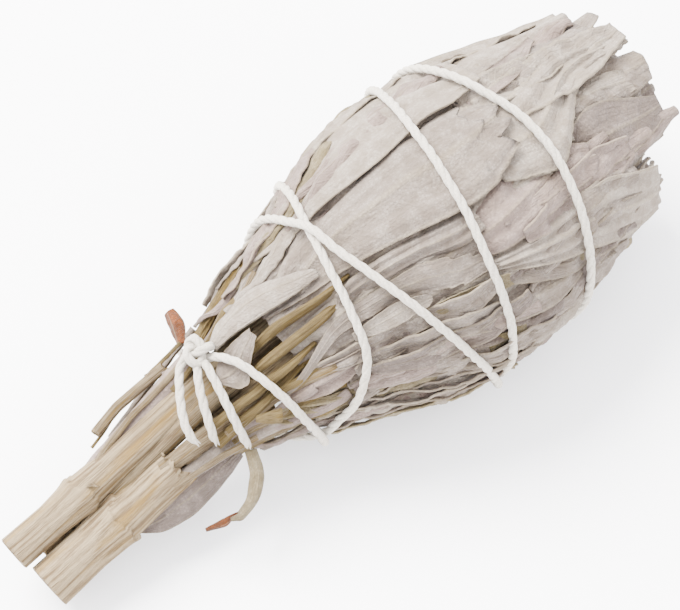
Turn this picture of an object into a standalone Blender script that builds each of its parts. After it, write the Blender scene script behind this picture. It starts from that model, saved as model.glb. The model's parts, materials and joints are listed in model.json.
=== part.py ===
"""A small dried sage bunch, tied with cotton string and lying on its side.

The bunch is laid out on a wrap: a station along it (mm from the stems' cut ends), an angle
round it (degrees from straight up, growing toward the front) and a radius from its centre
line. Leaves are laid from the outermost inward. Each one goes under all that were laid
before it, with a small gap, so no two pieces touch.
"""

import math

import bmesh
import bpy
import numpy as np
from mathutils import Vector

MM = 0.001

# The bunch as a whole, in millimetres.
CENTRE_STATIONS = (0, 15, 30, 45, 60, 75, 95, 110)
CENTRE_SIDE = (-1.2, -0.2, 0.5, 0.5, 0.2, 0.2, 0.8, 1.5)
CENTRE_HEIGHT = (6.6, 9.3, 13.0, 16.0, 18.2, 19.3, 18.5, 17.5)
GIRTH_STATIONS = (0, 14, 27, 34, 41, 48, 54, 63, 68, 73, 81, 86, 93, 100, 112)
GIRTH_RADII = (6.2, 6.2, 7.2, 9.0, 11.8, 14.2, 16.8, 20.0, 20.9, 21.1, 20.4, 19.2, 17.6, 16.2, 14.5)

GAP = 0.35
LEAF_THICKNESS = 0.5
STALK_THICKNESS = 1.4
STRING_DIAMETER = 1.6
STRING_CLEARANCE = 0.4
GROOVE_HEIGHT = STRING_DIAMETER + STRING_CLEARANCE + 0.1
GROOVE_HALF_WIDTH = 1.6
GROOVE_SLOPE = 1.2

# The wrap's grid: half a millimetre along, two degrees round.
STATION_STEP = 0.5
LAST_STATION = 118.0
ANGLE_STEP = 2.0
FINE_STEPS = 11
SETTLE_PASSES = 60
KINK = 0.5

# The string's one route, as (angle wound so far, station): knot, five turns, knot.
STRING_ROUTE = (
    (-8, 34.2), (5, 35.2), (30, 36.7), (60, 38.2), (85, 39.6), (110, 41.2), (160, 44), (220, 47),
    (285, 50.2), (345, 52.3), (365, 53.2), (395, 56), (420, 59), (450, 63), (470, 65.4), (505, 69.4),
    (540, 71.6), (580, 74.6), (620, 78), (660, 79.8), (690, 80.8), (705, 82), (725, 84), (745, 84.3),
    (765, 83.6), (790, 82.2), (820, 81), (860, 80.2), (900, 79.6), (940, 78.8), (980, 77.0),
    (1010, 74.8), (1035, 73), (1060, 71), (1090, 69.2), (1125, 67.6), (1160, 67.3), (1190, 67.2),
    (1220, 65), (1260, 61.2), (1310, 58.4), (1365, 57), (1400, 54.6), (1425, 52.2), (1455, 50.5),
    (1495, 49), (1520, 46), (1545, 42.5), (1580, 39.5), (1620, 36.8), (1680, 34.2), (1730, 32.6),
    (1760, 32),
)
STRING_POINTS = 118
CROSSING_CLOSE = 3.4
CROSSING_RISE = 2.6
CROSSING_REACH = 5.0
KNOT_STATION, KNOT_ANGLE = 32.6, -24.0
KNOT_HALF_SIZES = (1.9, 2.4, 1.3)

TAILS = {
    "string_tail_left": ((31.0, -40), (29.6, -28), (28.2, -16), (26.6, -2), (25.4, 14), (25.0, 30), (25.6, 42)),
    "string_tail_middle": ((30.9, -12), (29.6, 2), (28.6, 16), (27.9, 30), (27.5, 44), (27.6, 54)),
    "string_tail_right": ((32.2, -4), (31.5, 12), (31.0, 28), (30.8, 46), (30.9, 62), (31.2, 78)),
}

# Stems: across and depth as the stem sits in the handful, radius, first and last station, then
# swellings as (station, extra radius). Across grows toward the front, depth toward the top.
STEM_TURN = 22.0
STEMS = {
    "stem_top_left": (-3.3, 1.6, 2.55, -1.0, 45.0, ((10.0, 0.45),)),
    "stem_top_right": (2.95, 1.1, 3.15, 0.5, 25.0, ((12.6, 0.35),)),
    "stem_right_core": (2.2, 0.9, 1.7, 25.6, 47.0, ()),
    "stem_between": (-0.9, -3.3, 1.95, 1.5, 44.0, ((14.0, 0.25),)),
    "stem_under": (3.2, -4.1, 1.45, 2.5, 42.0, ()),
}
TWIG_LEFT = ((13.5, -60, 7.3), (17, -64, 8.2), (21, -64, 8.8), (25, -62, 8.7), (29, -58, 8.6))
TWIG_RADIUS = 0.75

# Colours, as linear red, green and blue.
LEAF_GREY = (0.60, 0.57, 0.53)
LEAF_PALE = (0.72, 0.69, 0.65)
LEAF_SHADE = (0.42, 0.38, 0.34)
LEAF_PINK = (0.66, 0.56, 0.49)
LEAF_OLIVE = (0.48, 0.43, 0.26)
STEM_TAN = (0.60, 0.52, 0.38)
STALK_OLIVE = (0.50, 0.42, 0.24)
STRING_WHITE = (0.86, 0.83, 0.76)
SCRAP_BROWN = (0.36, 0.24, 0.12)

# Leaves that show, outermost first. Each row is (station, one edge's angle, other edge's angle).
SHOWN_LEAVES = (
    ("leaf_neck_folded", LEAF_PALE, 0.0,
     ((34.6, -30, -18), (37, -42, -13), (40, -42, -6), (43, -30, -1), (46, -18, 2), (50, -4, 3))),
    ("leaf_neck_scrap", LEAF_GREY, 0.0,
     ((32.2, 2, 10), (33.5, -8, 26), (35, -11, 30), (37, -8, 12), (39.5, -5, 3))),
    ("leaf_top_left", LEAF_PALE, 0.0,
     ((46, -52, -42), (50, -68, -30), (54, -78, -23), (60, -84, -17), (66, -84, -13), (72, -80, -17),
      (78, -70, -15), (84, -58, -20))),
    ("leaf_centre", LEAF_GREY, 0.1,
     ((42, -14, -4), (46, -20, 5), (50, -24, 8), (56, -24, 13), (62, -22, 18), (68, -22, 22),
      (73, -20, 23), (77, -18, 20), (81, -12, 10))),
    ("leaf_cut_pale", LEAF_PALE, 0.0, ((49, 39, 44), (52, 37, 46), (56, 37, 47), (59.5, 40, 46))),
    ("leaf_right_short", LEAF_OLIVE, 0.1,
     ((58, 48, 52), (61, 47, 56), (64, 48, 57), (67, 50, 57), (70, 52, 57))),
    ("leaf_torn_flap", LEAF_GREY, 0.2,
     ((38.5, 50, 54), (41, 45, 50), (44, 35, 42), (47, 28, 36), (50, 26, 36), (55, 27, 37),
      (60, 28, 42), (64, 32, 46), (68, 40, 47))),
    ("leaf_upper_right", LEAF_PALE, 0.3,
     ((76, -6, 22), (81, -6, 30), (86, -6, 32), (90, -12, 20), (94, -14, 6), (98, -13, 1),
      (102, -10, 1), (106, -6, -1))),
    ("leaf_band", LEAF_GREY, 0.2,
     ((50, 16, 25), (54, 14, 27), (58, 16, 28), (62, 18, 30), (66, 20, 34), (70, 22, 32))),
    ("leaf_pink", LEAF_PINK, 0.2,
     ((62, 30, 38), (66, 28, 42), (70, 23, 44), (76, 19, 44), (82, 17, 43), (87, 22, 44), (90, 30, 42))),
    ("leaf_right_long", LEAF_PALE, 0.2,
     ((66, 45, 49), (70, 44, 51), (74, 44, 57), (78, 43, 62), (82, 43, 67), (86, 46, 73), (90, 47, 83),
      (94, 53, 92), (99, 62, 98))),
    ("leaf_side_upper", LEAF_GREY, 0.2,
     ((65, 49, 56), (70, 50, 58), (74, 55, 64), (78, 61, 71), (82, 66, 76), (85, 70, 75))),
    ("leaf_side_middle", LEAF_GREY, 0.2,
     ((55, 55, 60), (60, 56, 66), (64, 57, 70), (68, 58, 74), (72, 59, 77), (76, 64, 79), (81, 71, 78))),
    ("leaf_side_narrow", LEAF_SHADE, 0.2,
     ((50, 62, 66), (56, 61, 71), (61, 66, 76), (66, 70, 80), (70, 74, 85), (76, 77, 89), (83, 80, 87))),
    ("leaf_side_lower", LEAF_GREY, 0.2,
     ((46, 68, 73), (52, 70, 80), (58, 72, 84), (64, 77, 92), (70, 82, 98), (78, 86, 100), (88, 86, 93))),
    ("leaf_neck_pink", LEAF_PINK, 0.2,
     ((38.5, 55, 62), (41, 49, 66), (44, 46, 67), (47, 48, 62), (50, 50, 56))),
    ("leaf_neck_lower", LEAF_OLIVE, 0.2,
     ((35, 60, 72), (37, 60, 84), (40, 66, 90), (44, 72, 92), (48, 78, 88))),
    ("leaf_tip_small", LEAF_PINK, 0.6,
     ((80, -22, -12), (85, -26, -10), (89, -29, -14), (93, -35, -23), (96, -39, -33))),
    ("leaf_tip_rolled", LEAF_PALE, 0.5,
     ((68, -60, -38), (76, -72, -30), (84, -76, -26), (90, -76, -30), (96, -76, -38), (101, -74, -44),
      (105, -70, -52))),
)

STALKS = (
    ("stalk_centre_upper", ((37, 2, 8), (40, 0, 9), (44, 4, 13), (48, 8, 15), (53, 9, 14))),
    ("stalk_centre_lower", ((36, 17, 26), (40, 17, 26), (44, 19, 26), (49, 18, 25), (54, 18, 23))),
    ("stalk_right_upper", ((28, 34, 44), (33, 33, 43), (37, 32, 42), (41, 31, 38), (45, 31, 35))),
    ("stalk_right_lower", ((28, 54, 66), (33, 48, 58), (38, 43, 51), (42, 38, 44), (45, 37, 41))),
    ("stalk_left", ((34, -62, -52), (40, -66, -58), (46, -66, -60), (53, -64, -60))),
)

# The leaves at the far end that show inside the outer ones.
TIP_LEAVES = (
    ("leaf_tip_grey", LEAF_SHADE, 0.8,
     ((84, 22, 40), (88, 22, 45), (92, 16, 47), (96, 17, 50), (100, 24, 49), (104, 32, 44))),
    ("leaf_tip_slip", LEAF_PALE, 0.8,
     ((86, 2, 14), (90, 2, 18), (94, 3, 20), (98, 4, 22), (102, 10, 24))),
    ("leaf_tip_dark", LEAF_SHADE, 0.8,
     ((84, -34, -14), (88, -40, -14), (93, -44, -13), (98, -46, -11), (103, -38, -18))),
    ("leaf_tip_low", LEAF_OLIVE, 0.8,
     ((78, 84, 96), (83, 82, 104), (88, 84, 112), (92, 92, 116), (96, 100, 112))),
)

# The leaves of the underside and the back: first and last station, angle at the base and at the
# tip, widest (degrees), how many divisions long, and how deep under its neighbours (mm).
UNDER_LEAVES = (
    ("leaf_belly_middle", 34, 100, 186, 190, 40, 27, 0.1),
    ("leaf_belly_front", 33, 97, 150, 154, 38, 25, 0.1),
    ("leaf_belly_back", 34, 98, 222, 226, 38, 25, 0.1),
    ("leaf_front_low", 34, 92, 116, 118, 36, 14, 0.1),
    ("leaf_back_low", 33, 95, 258, 256, 38, 14, 0.1),
    ("leaf_back_high", 35, 92, 286, 284, 34, 14, 0.1),
)

# The leaves inside, one ring within another, the same way.
INNER_LEAVES = (
    ("leaf_inner_01", 47, 103, 20, 24, 62, 10, 1.0),
    ("leaf_inner_02", 48, 99, 85, 80, 58, 10, 1.2),
    ("leaf_inner_03", 48, 106, 140, 136, 56, 10, 1.6),
    ("leaf_inner_04", 48, 101, 205, 208, 60, 10, 1.4),
    ("leaf_inner_05", 48, 104, 268, 262, 58, 10, 1.2),
    ("leaf_inner_06", 48, 107, 330, 322, 60, 10, 1.4),
    ("leaf_inner_07", 50, 104, 50, 54, 84, 9, 3.6),
    ("leaf_inner_08", 50, 101, 135, 128, 90, 9, 3.8),
    ("leaf_inner_09", 50, 106, 225, 220, 90, 9, 4.2),
    ("leaf_inner_10", 50, 105, 310, 316, 90, 9, 4.0),
)

# Loose bits by the knot and under the stems, as (station, edge, edge, radius) rows.
SCRAPS = (
    ("scrap_low_leaf", LEAF_PALE, ((13, 104, 110, 9.4), (17, 102, 114, 9.4), (22, 100, 114, 9.2), (27, 98, 108, 8.6))),
    ("scrap_low_curl", SCRAP_BROWN, ((22, 116, 122, 12.4), (25, 115, 124, 12.6), (28, 112, 120, 12.2), (31, 106, 114, 10.6))),
    ("scrap_hooked", LEAF_OLIVE, ((26, 84, 92, 8.8), (28.5, 84, 94, 11.2), (31, 88, 98, 13.0), (33, 97, 105, 14.0))),
    ("scrap_bud_brown", SCRAP_BROWN, ((34.8, -78, -72, 10.6), (36.4, -84, -70, 11.4), (38.6, -80, -74, 12.6))),
    ("scrap_forked_stub", LEAF_OLIVE, ((34.2, 52, 57, 10.6), (35.4, 52, 64, 11.0), (37, 54, 60, 11.3))),
)


def clear_scene():
    for obj in list(bpy.data.objects):
        bpy.data.objects.remove(obj, do_unlink=True)


def rounded(stations, values, reach=4.0):
    """A smooth curve through a short list of sizes, as a function of the station."""
    fine = np.arange(-10.0, LAST_STATION + 10.0, 0.5)
    line = np.interp(fine, stations, values)
    kernel = np.hanning(int(4 * reach) + 1)
    padded = np.pad(line, len(kernel) // 2, mode="edge")
    smooth = np.convolve(padded, kernel / kernel.sum(), mode="valid")
    return lambda station: np.interp(station, fine, smooth)


centre_side = rounded(CENTRE_STATIONS, CENTRE_SIDE)
centre_height = rounded(CENTRE_STATIONS, CENTRE_HEIGHT)
girth = rounded(GIRTH_STATIONS, GIRTH_RADII, reach=2.5)


def on_bunch(station, angle, radius):
    """The point in millimetres at a station, an angle and a radius. Arrays work too."""
    turn = np.radians(angle)
    side = centre_side(station) - radius * np.sin(turn)
    height = centre_height(station) + radius * np.cos(turn)
    return np.stack(np.broadcast_arrays(station, side, height), axis=-1)


def off_bunch(points):
    """The station, angle and radius of points in millimetres."""
    station = points[..., 0]
    side = centre_side(station) - points[..., 1]
    height = points[..., 2] - centre_height(station)
    return station, np.degrees(np.arctan2(side, height)), np.hypot(side, height)


def string_station_near(station, angle):
    """How far along the bunch the nearest turn of string is from each station and angle."""
    wound, stations = np.array(STRING_ROUTE, float).T
    nearest = np.full(np.shape(station), 99.0)
    for turn in range(6):
        here = angle + 360.0 * turn
        inside = (here >= wound[0]) & (here <= wound[-1])
        away = np.abs(np.interp(here, wound, stations) - station)
        nearest = np.where(inside, np.minimum(nearest, away), nearest)
    return nearest


class Wrap:
    """What is still free: how far out from the centre line the next piece may reach."""

    def __init__(self):
        self.stations = np.arange(0.0, LAST_STATION + STATION_STEP, STATION_STEP)
        self.angles = np.arange(0.0, 360.0, ANGLE_STEP)
        station, angle = np.meshgrid(self.stations, self.angles, indexing="ij")
        slope = (string_station_near(station, angle) - GROOVE_HALF_WIDTH) / GROOVE_SLOPE
        floor = GROOVE_HEIGHT * np.clip(1.0 - slope, 0.0, 1.0)
        down = np.maximum(-np.cos(np.radians(angle)), 1e-3)
        self.free = np.minimum(girth(station), (centre_height(station) - floor) / down)
        self.skin = np.zeros_like(self.free)

    def lowest(self, station, angle, half_station, half_angle):
        """The least free radius within a window round a point."""
        rows = self.window(station, half_station)
        count = int(math.ceil(half_angle / ANGLE_STEP))
        middle = int(round(angle / ANGLE_STEP))
        columns = np.arange(middle - count, middle + count + 1) % len(self.angles)
        return self.free[rows][:, columns].min()

    def overreach(self, points):
        """How far the surface between four grid points reaches past what is free, cell by cell."""
        row, column, radius = self.cells(fine_grid(points))
        over = np.maximum(radius - self.free[row, column], 0.0)
        shape = (FINE_STEPS**2, points.shape[0] - 1, points.shape[1] - 1)
        return over.reshape(shape).max(axis=0)

    def highest_skin(self, station, angle, half_station, half_angle):
        rows = self.window(station, half_station)
        count = int(math.ceil(half_angle / ANGLE_STEP))
        middle = int(round(angle / ANGLE_STEP))
        columns = np.arange(middle - count, middle + count + 1) % len(self.angles)
        return self.skin[rows][:, columns].max()

    def window(self, station, half_station):
        first = int(math.floor((station - half_station) / STATION_STEP))
        last = int(math.ceil((station + half_station) / STATION_STEP)) + 1
        return slice(max(first, 0), min(max(last, first + 1), len(self.stations)))

    def cells(self, points):
        station, angle, radius = off_bunch(points)
        row = np.clip(np.round(station / STATION_STEP).astype(int), 0, len(self.stations) - 1)
        column = np.round(angle / ANGLE_STEP).astype(int) % len(self.angles)
        return row, column, radius

    def lay(self, outer, inner):
        """Take the room between a piece's outer and inner faces, given as grids of points."""
        row, column, radius = self.cells(fine_grid(inner))
        np.minimum.at(self.free, (row, column), radius - GAP)
        row, column, radius = self.cells(fine_grid(outer))
        np.maximum.at(self.skin, (row, column), radius)


def fine_grid(points):
    """Points spread over every four-sided cell of a grid, corners included."""
    part = np.linspace(0.0, 1.0, FINE_STEPS)
    along, across = np.meshgrid(part, part, indexing="ij")
    along, across = along[..., None, None, None], across[..., None, None, None]
    a, b = points[:-1, :-1], points[1:, :-1]
    c, d = points[:-1, 1:], points[1:, 1:]
    near = a * (1 - along) + b * along
    far = c * (1 - along) + d * along
    return (near * (1 - across) + far * across).reshape(-1, 3)


def material(name, colour, roughness):
    made = bpy.data.materials.new(name)
    made.use_nodes = True
    shader = made.node_tree.nodes["Principled BSDF"]
    shader.inputs["Base Color"].default_value = (*colour, 1.0)
    shader.inputs["Roughness"].default_value = roughness
    shader.inputs["Metallic"].default_value = 0.0
    made.diffuse_color = (*colour, 1.0)
    return made


def place(name, data, finish, holder):
    """An object with its origin in its own middle, held by the bunch's empty."""
    obj = bpy.data.objects.new(name, data)
    bpy.context.scene.collection.objects.link(obj)
    data.materials.append(finish)
    obj.parent = holder
    if obj.type == "MESH":
        points = [vertex.co for vertex in data.vertices]
    else:
        points = [point.co.to_3d() for spline in data.splines for point in spline.points]
    middle = sum(points, Vector()) / len(points)
    for vertex in data.vertices if obj.type == "MESH" else ():
        vertex.co -= middle
    for spline in data.splines if obj.type == "CURVE" else ():
        for point in spline.points:
            point.co = (*(point.co.to_3d() - middle), 1.0)
    obj.location = middle
    return obj


def finished(name, bm, finish, holder):
    """The object made of a closed shape, with its faces turned outward."""
    if bm.calc_volume(signed=True) < 0:
        bmesh.ops.reverse_faces(bm, faces=bm.faces[:])
    mesh = bpy.data.meshes.new(name)
    bm.to_mesh(mesh)
    bm.free()
    return place(name, mesh, finish, holder)


def slab(name, outer, inner, finish, holder):
    """A closed sheet between two grids of points in millimetres."""
    along, across = outer.shape[0] - 1, outer.shape[1] - 1
    bm = bmesh.new()
    bmesh.ops.create_grid(bm, x_segments=along, y_segments=across, size=0.5)
    bmesh.ops.solidify(bm, geom=bm.faces[:], thickness=1.0)
    heights = [vert.co.z for vert in bm.verts]
    split = (max(heights) + min(heights)) / 2
    for vert in bm.verts:
        i = round((vert.co.x + 0.5) * along)
        j = round((vert.co.y + 0.5) * across)
        grid = outer if vert.co.z > split else inner
        vert.co = Vector(grid[i, j]) * MM
    return finished(name, bm, finish, holder)


def spread(rows, along, across):
    """The stations and angles of a grid laid between the two edges of a leaf."""
    table = np.array(rows, float)
    stations = np.linspace(table[0, 0], table[-1, 0], along + 1)
    first = np.interp(stations, table[:, 0], table[:, 1])
    second = np.interp(stations, table[:, 0], table[:, 2])
    part = np.linspace(0.0, 1.0, across + 1)
    angles = first[:, None] * (1 - part) + second[:, None] * part
    return np.broadcast_to(stations[:, None], angles.shape), angles


def settle(wrap, stations, angles, sink):
    """The outer radius at each grid point: as far out as fits under everything laid so far."""
    radius = np.empty(stations.shape)
    for i, j in np.ndindex(stations.shape):
        radius[i, j] = wrap.lowest(stations[i, j], angles[i, j], STATION_STEP, 0.0) - sink
    for _ in range(SETTLE_PASSES):
        over = wrap.overreach(on_bunch(stations, angles, radius))
        if over.max() < 0.01:
            break
        padded = np.pad(over, 1, constant_values=0.0)
        around = (padded[:-1, :-1], padded[1:, :-1], padded[:-1, 1:], padded[1:, 1:])
        radius -= 0.6 * np.maximum.reduce(around) + 0.002
        radius = np.minimum(radius, soften(radius) + KINK)
    return radius


def soften(grid):
    padded = np.pad(grid, 1, mode="edge")
    around = padded[:-2, 1:-1] + padded[2:, 1:-1] + padded[1:-1, :-2] + padded[1:-1, 2:]
    return 0.2 * (grid + around)


def lay_leaf(wrap, name, finish, holder, rows, sink, along, across, thickness=LEAF_THICKNESS, crown=0.0):
    stations, angles = spread(rows, along, across)
    radius = settle(wrap, stations, angles, sink)
    edge = np.abs(np.linspace(-1.0, 1.0, across + 1)) ** 2
    dip = crown * edge[None, :]
    outer = on_bunch(stations, angles, radius - dip)
    inner = on_bunch(stations, angles, radius - thickness + dip)
    wrap.lay(outer, inner)
    print(f"{name}: radius {radius.min():.1f} to {radius.max():.1f}")
    return slab(name, outer, inner, finish, holder)


def spindle_rows(first, last, base_angle, tip_angle, widest):
    """Rows of a plain leaf: half its width at the base, widest past its middle, rounded at the tip."""
    rows = []
    for part in np.linspace(0.0, 1.0, 9):
        middle = base_angle + (tip_angle - base_angle) * part
        swell = 0.5 + 0.5 * math.sin(0.5 * math.pi * min(part / 0.55, 1.0))
        taper = 1.0 if part < 0.55 else math.cos(0.5 * math.pi * (part - 0.55) / 0.45) ** 0.6
        half = 0.5 * widest * max(swell * taper, 0.2)
        rows.append((first + (last - first) * part, middle - half, middle + half))
    return rows


def lay_all_leaves(wrap, holder):
    for name, colour, sink, rows in SHOWN_LEAVES:
        finish = material(f"{name}_finish", colour, 0.9)
        length = rows[-1][0] - rows[0][0]
        along = max(5, min(12, round(length / 3.0)))
        across = 4 if rows[len(rows) // 2][2] - rows[len(rows) // 2][1] > 16 else 3
        lay_leaf(wrap, name, finish, holder, rows, sink, along, across)
    for name, rows in STALKS:
        finish = material(f"{name}_finish", STALK_OLIVE, 0.85)
        lay_leaf(wrap, name, finish, holder, rows, 0.1, 6, 4, STALK_THICKNESS, 0.4)
    for name, colour, sink, rows in TIP_LEAVES:
        finish = material(f"{name}_finish", colour, 0.9)
        lay_leaf(wrap, name, finish, holder, rows, sink, 7, 4)
    for name, first, last, base, tip, widest, along, depth in UNDER_LEAVES + INNER_LEAVES:
        finish = material(f"{name}_finish", LEAF_GREY, 0.9)
        rows = spindle_rows(first, last, base, tip, widest)
        lay_leaf(wrap, name, finish, holder, rows, depth, along, 5)


def scrap(name, colour, rows, holder):
    """A loose bit with its own radius at each row."""
    finish = material(f"{name}_finish", colour, 0.9)
    stations, angles = spread([row[:3] for row in rows], 5, 2)
    radius = np.interp(stations, [row[0] for row in rows], [row[3] for row in rows])
    outer = on_bunch(stations, angles, radius)
    inner = on_bunch(stations, angles, radius - LEAF_THICKNESS)
    return slab(name, outer, inner, finish, holder)


def tube(name, points, radii, sides, finish, holder):
    """A round piece along points in millimetres, with its own radius at each, and flat ends."""
    curve = bpy.data.curves.new(name, "CURVE")
    curve.dimensions = "3D"
    curve.bevel_depth = MM
    curve.bevel_resolution = sides // 2 - 2
    curve.use_fill_caps = True
    spline = curve.splines.new("POLY")
    spline.points.add(len(points) - 1)
    for target, point, radius in zip(spline.points, points, radii):
        target.co = (*(Vector(point) * MM), 1.0)
        target.radius = radius
    return place(name, curve, finish, holder)


def make_stems(holder):
    finish = material("stem_finish", STEM_TAN, 0.75)
    for name, (across, depth, radius, first, last, swellings) in STEMS.items():
        away = math.hypot(across, depth)
        angle = STEM_TURN + math.degrees(math.atan2(across, depth))
        rings = sorted({first, last, *np.arange(math.ceil(first) + 1, last - 1, 5.0)})
        for station, _ in swellings:
            rings = sorted({*rings, station - 1.2, station, station + 1.2})
        radii = [radius + sum(e * math.exp(-(((r - s) / 0.9) ** 2)) for s, e in swellings) for r in rings]
        points = [on_bunch(np.float64(r), angle, away) for r in rings]
        tube(name, points, radii, 10, finish, holder)
    points = [on_bunch(np.float64(s), a, r) for s, a, r in TWIG_LEFT]
    tube("twig_left", points, [TWIG_RADIUS] * len(points), 8, finish, holder)


def string_path(wrap, route, count):
    """Points along a route of string that lies on whatever skin is under it."""
    wound, stations = np.array(route, float).T
    fine = np.linspace(wound[0], wound[-1], 8 * count)
    station = np.interp(fine, wound, stations)
    kernel = np.hanning(17) / np.hanning(17).sum()
    station = np.convolve(np.pad(station, 8, mode="edge"), kernel, mode="valid")
    skin = np.array([wrap.highest_skin(s, a, 1.4, 5.0) for s, a in zip(station, fine % 360.0)])
    bare = skin < 1.0
    skin[bare] = girth(station[bare]) - 0.3
    radius = skin + STRING_CLEARANCE + STRING_DIAMETER / 2
    for _ in range(60):
        padded = np.pad(radius, 1, mode="edge")
        radius = np.maximum(radius, 0.5 * (padded[:-2] + padded[2:]))
    height = centre_height(station) + radius * np.cos(np.radians(fine))
    low = height < STRING_DIAMETER / 2 + 0.02
    down = np.maximum(-np.cos(np.radians(fine)), 1e-3)
    radius[low] = (centre_height(station[low]) - STRING_DIAMETER / 2 - 0.02) / down[low]
    path = on_bunch(station, fine, radius)
    steps = np.linalg.norm(np.diff(path, axis=0), axis=1)
    travelled = np.concatenate([[0.0], np.cumsum(steps)])
    even = np.linspace(0.0, travelled[-1], count)
    return np.stack([np.interp(even, travelled, path[:, k]) for k in range(3)], axis=-1), travelled[-1]


def lift_crossings(path):
    """Raise the earlier of two strands where they cross, in a short smooth bump."""
    station, angle, radius = off_bunch(path)
    travelled = np.concatenate([[0.0], np.cumsum(np.linalg.norm(np.diff(path, axis=0), axis=1))])
    lifted = radius.copy()
    for over, under in crossings(path):
        bump = CROSSING_RISE * np.exp(-(((travelled - travelled[over]) / CROSSING_REACH) ** 2))
        lifted = np.maximum(lifted, radius + bump)
        print(f"strands cross at station {station[over]:.0f}, angle {angle[over]:.0f}")
    return on_bunch(station, angle, lifted)


def crossings(path):
    """Pairs of points, the earlier one first, where the route comes closest to itself."""
    apart = np.linalg.norm(path[:, None] - path[None], axis=2)
    index = np.arange(len(path))
    apart[np.abs(index[:, None] - index[None]) < 15] = 99.0
    for i in range(1, len(path) - 1):
        j = i + 1 + int(np.argmin(apart[i, i + 1:]))
        window = apart[max(i - 3, 0):i + 4, max(j - 3, 0):j + 4]
        if apart[i, j] < CROSSING_CLOSE and apart[i, j] <= window.min():
            yield i, j


def make_string(wrap, holder):
    finish = material("string_finish", STRING_WHITE, 0.95)
    path, length = string_path(wrap, STRING_ROUTE, STRING_POINTS)
    path = lift_crossings(path)
    print(f"string length {length:.0f} mm")
    tube("string_winding", path, [STRING_DIAMETER / 2] * len(path), 8, finish, holder)
    for name, route in TAILS.items():
        points = []
        for station, angle in route:
            reach = girth(station) + STRING_CLEARANCE + STRING_DIAMETER / 2
            points.append(on_bunch(np.float64(station), angle, reach))
        tube(name, points, [STRING_DIAMETER / 2] * len(points), 8, finish, holder)
    bm = bmesh.new()
    bmesh.ops.create_icosphere(bm, subdivisions=2, radius=1.0)
    centre = on_bunch(np.float64(KNOT_STATION), KNOT_ANGLE, girth(KNOT_STATION) + 2.0)
    for vert in bm.verts:
        along, round_it, out = (c * h for c, h in zip(vert.co, KNOT_HALF_SIZES))
        turn = math.radians(KNOT_ANGLE)
        local = Vector((along, -round_it * math.cos(turn) - out * math.sin(turn),
                        -round_it * math.sin(turn) + out * math.cos(turn)))
        vert.co = (Vector(centre) + local) * MM
    finished("string_knot", bm, finish, holder)


def stand_on_origin(holder):
    """Move the whole bunch so that the middle of its box's floor is the world's origin."""
    bpy.context.view_layer.update()
    graph = bpy.context.evaluated_depsgraph_get()
    corners = []
    for obj in holder.children:
        evaluated = obj.evaluated_get(graph)
        mesh = evaluated.to_mesh()
        corners += [evaluated.matrix_world @ vertex.co for vertex in mesh.vertices]
        evaluated.to_mesh_clear()
    low = Vector(min(c[k] for c in corners) for k in range(3))
    high = Vector(max(c[k] for c in corners) for k in range(3))
    holder.location = (-(low.x + high.x) / 2, -(low.y + high.y) / 2, -low.z)
    print("moved by", [round(v / MM, 3) for v in holder.location], "size", [round(v / MM, 2) for v in high - low])


def main():
    clear_scene()
    holder = bpy.data.objects.new("bunch", None)
    bpy.context.scene.collection.objects.link(holder)
    wrap = Wrap()
    lay_all_leaves(wrap, holder)
    make_stems(holder)
    for name, colour, rows in SCRAPS:
        scrap(name, colour, rows, holder)
    make_string(wrap, holder)
    stand_on_origin(holder)


main()
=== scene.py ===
# %% [markdown]
# # A dried sage bunch
#
# This lesson dresses a plain model of a small sage bunch: broad grey-white leaves wrapped like a
# torch round cut stems, and wound with cotton string. The plain model gives the place and the
# size of every leaf, stem and strand. Here each of them becomes the real thing, with veins,
# curled rims, torn ends, ridged bark and twisted plies.

import json
import math
import random

import bmesh
import bpy
import numpy as np
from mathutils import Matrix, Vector, noise
from mathutils.bvhtree import BVHTree

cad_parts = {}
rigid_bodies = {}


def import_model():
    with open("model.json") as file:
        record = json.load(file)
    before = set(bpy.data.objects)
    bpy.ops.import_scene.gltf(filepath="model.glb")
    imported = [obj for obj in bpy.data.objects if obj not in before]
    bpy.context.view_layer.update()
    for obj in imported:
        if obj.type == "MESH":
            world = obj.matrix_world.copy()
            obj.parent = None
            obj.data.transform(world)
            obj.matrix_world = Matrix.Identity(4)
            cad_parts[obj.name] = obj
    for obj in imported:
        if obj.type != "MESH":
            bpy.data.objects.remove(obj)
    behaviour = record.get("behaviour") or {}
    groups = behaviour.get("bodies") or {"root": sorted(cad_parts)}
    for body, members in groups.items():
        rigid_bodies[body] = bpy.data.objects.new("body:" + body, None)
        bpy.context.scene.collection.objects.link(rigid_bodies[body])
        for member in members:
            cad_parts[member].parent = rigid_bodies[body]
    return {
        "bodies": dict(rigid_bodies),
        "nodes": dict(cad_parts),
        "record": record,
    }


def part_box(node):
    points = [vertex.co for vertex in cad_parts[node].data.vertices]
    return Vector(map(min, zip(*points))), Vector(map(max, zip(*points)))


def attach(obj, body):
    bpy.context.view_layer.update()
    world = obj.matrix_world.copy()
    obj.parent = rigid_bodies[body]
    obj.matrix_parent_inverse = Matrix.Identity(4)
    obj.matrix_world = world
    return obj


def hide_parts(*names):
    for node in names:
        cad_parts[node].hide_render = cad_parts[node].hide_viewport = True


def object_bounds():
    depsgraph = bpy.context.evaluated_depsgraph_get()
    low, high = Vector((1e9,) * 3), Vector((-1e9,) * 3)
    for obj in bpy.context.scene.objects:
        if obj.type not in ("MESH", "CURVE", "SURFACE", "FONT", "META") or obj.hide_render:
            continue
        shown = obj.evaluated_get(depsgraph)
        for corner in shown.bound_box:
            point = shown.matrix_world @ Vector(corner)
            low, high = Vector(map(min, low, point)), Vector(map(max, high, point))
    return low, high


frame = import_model()
cad_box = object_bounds()
MM = 0.001
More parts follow.
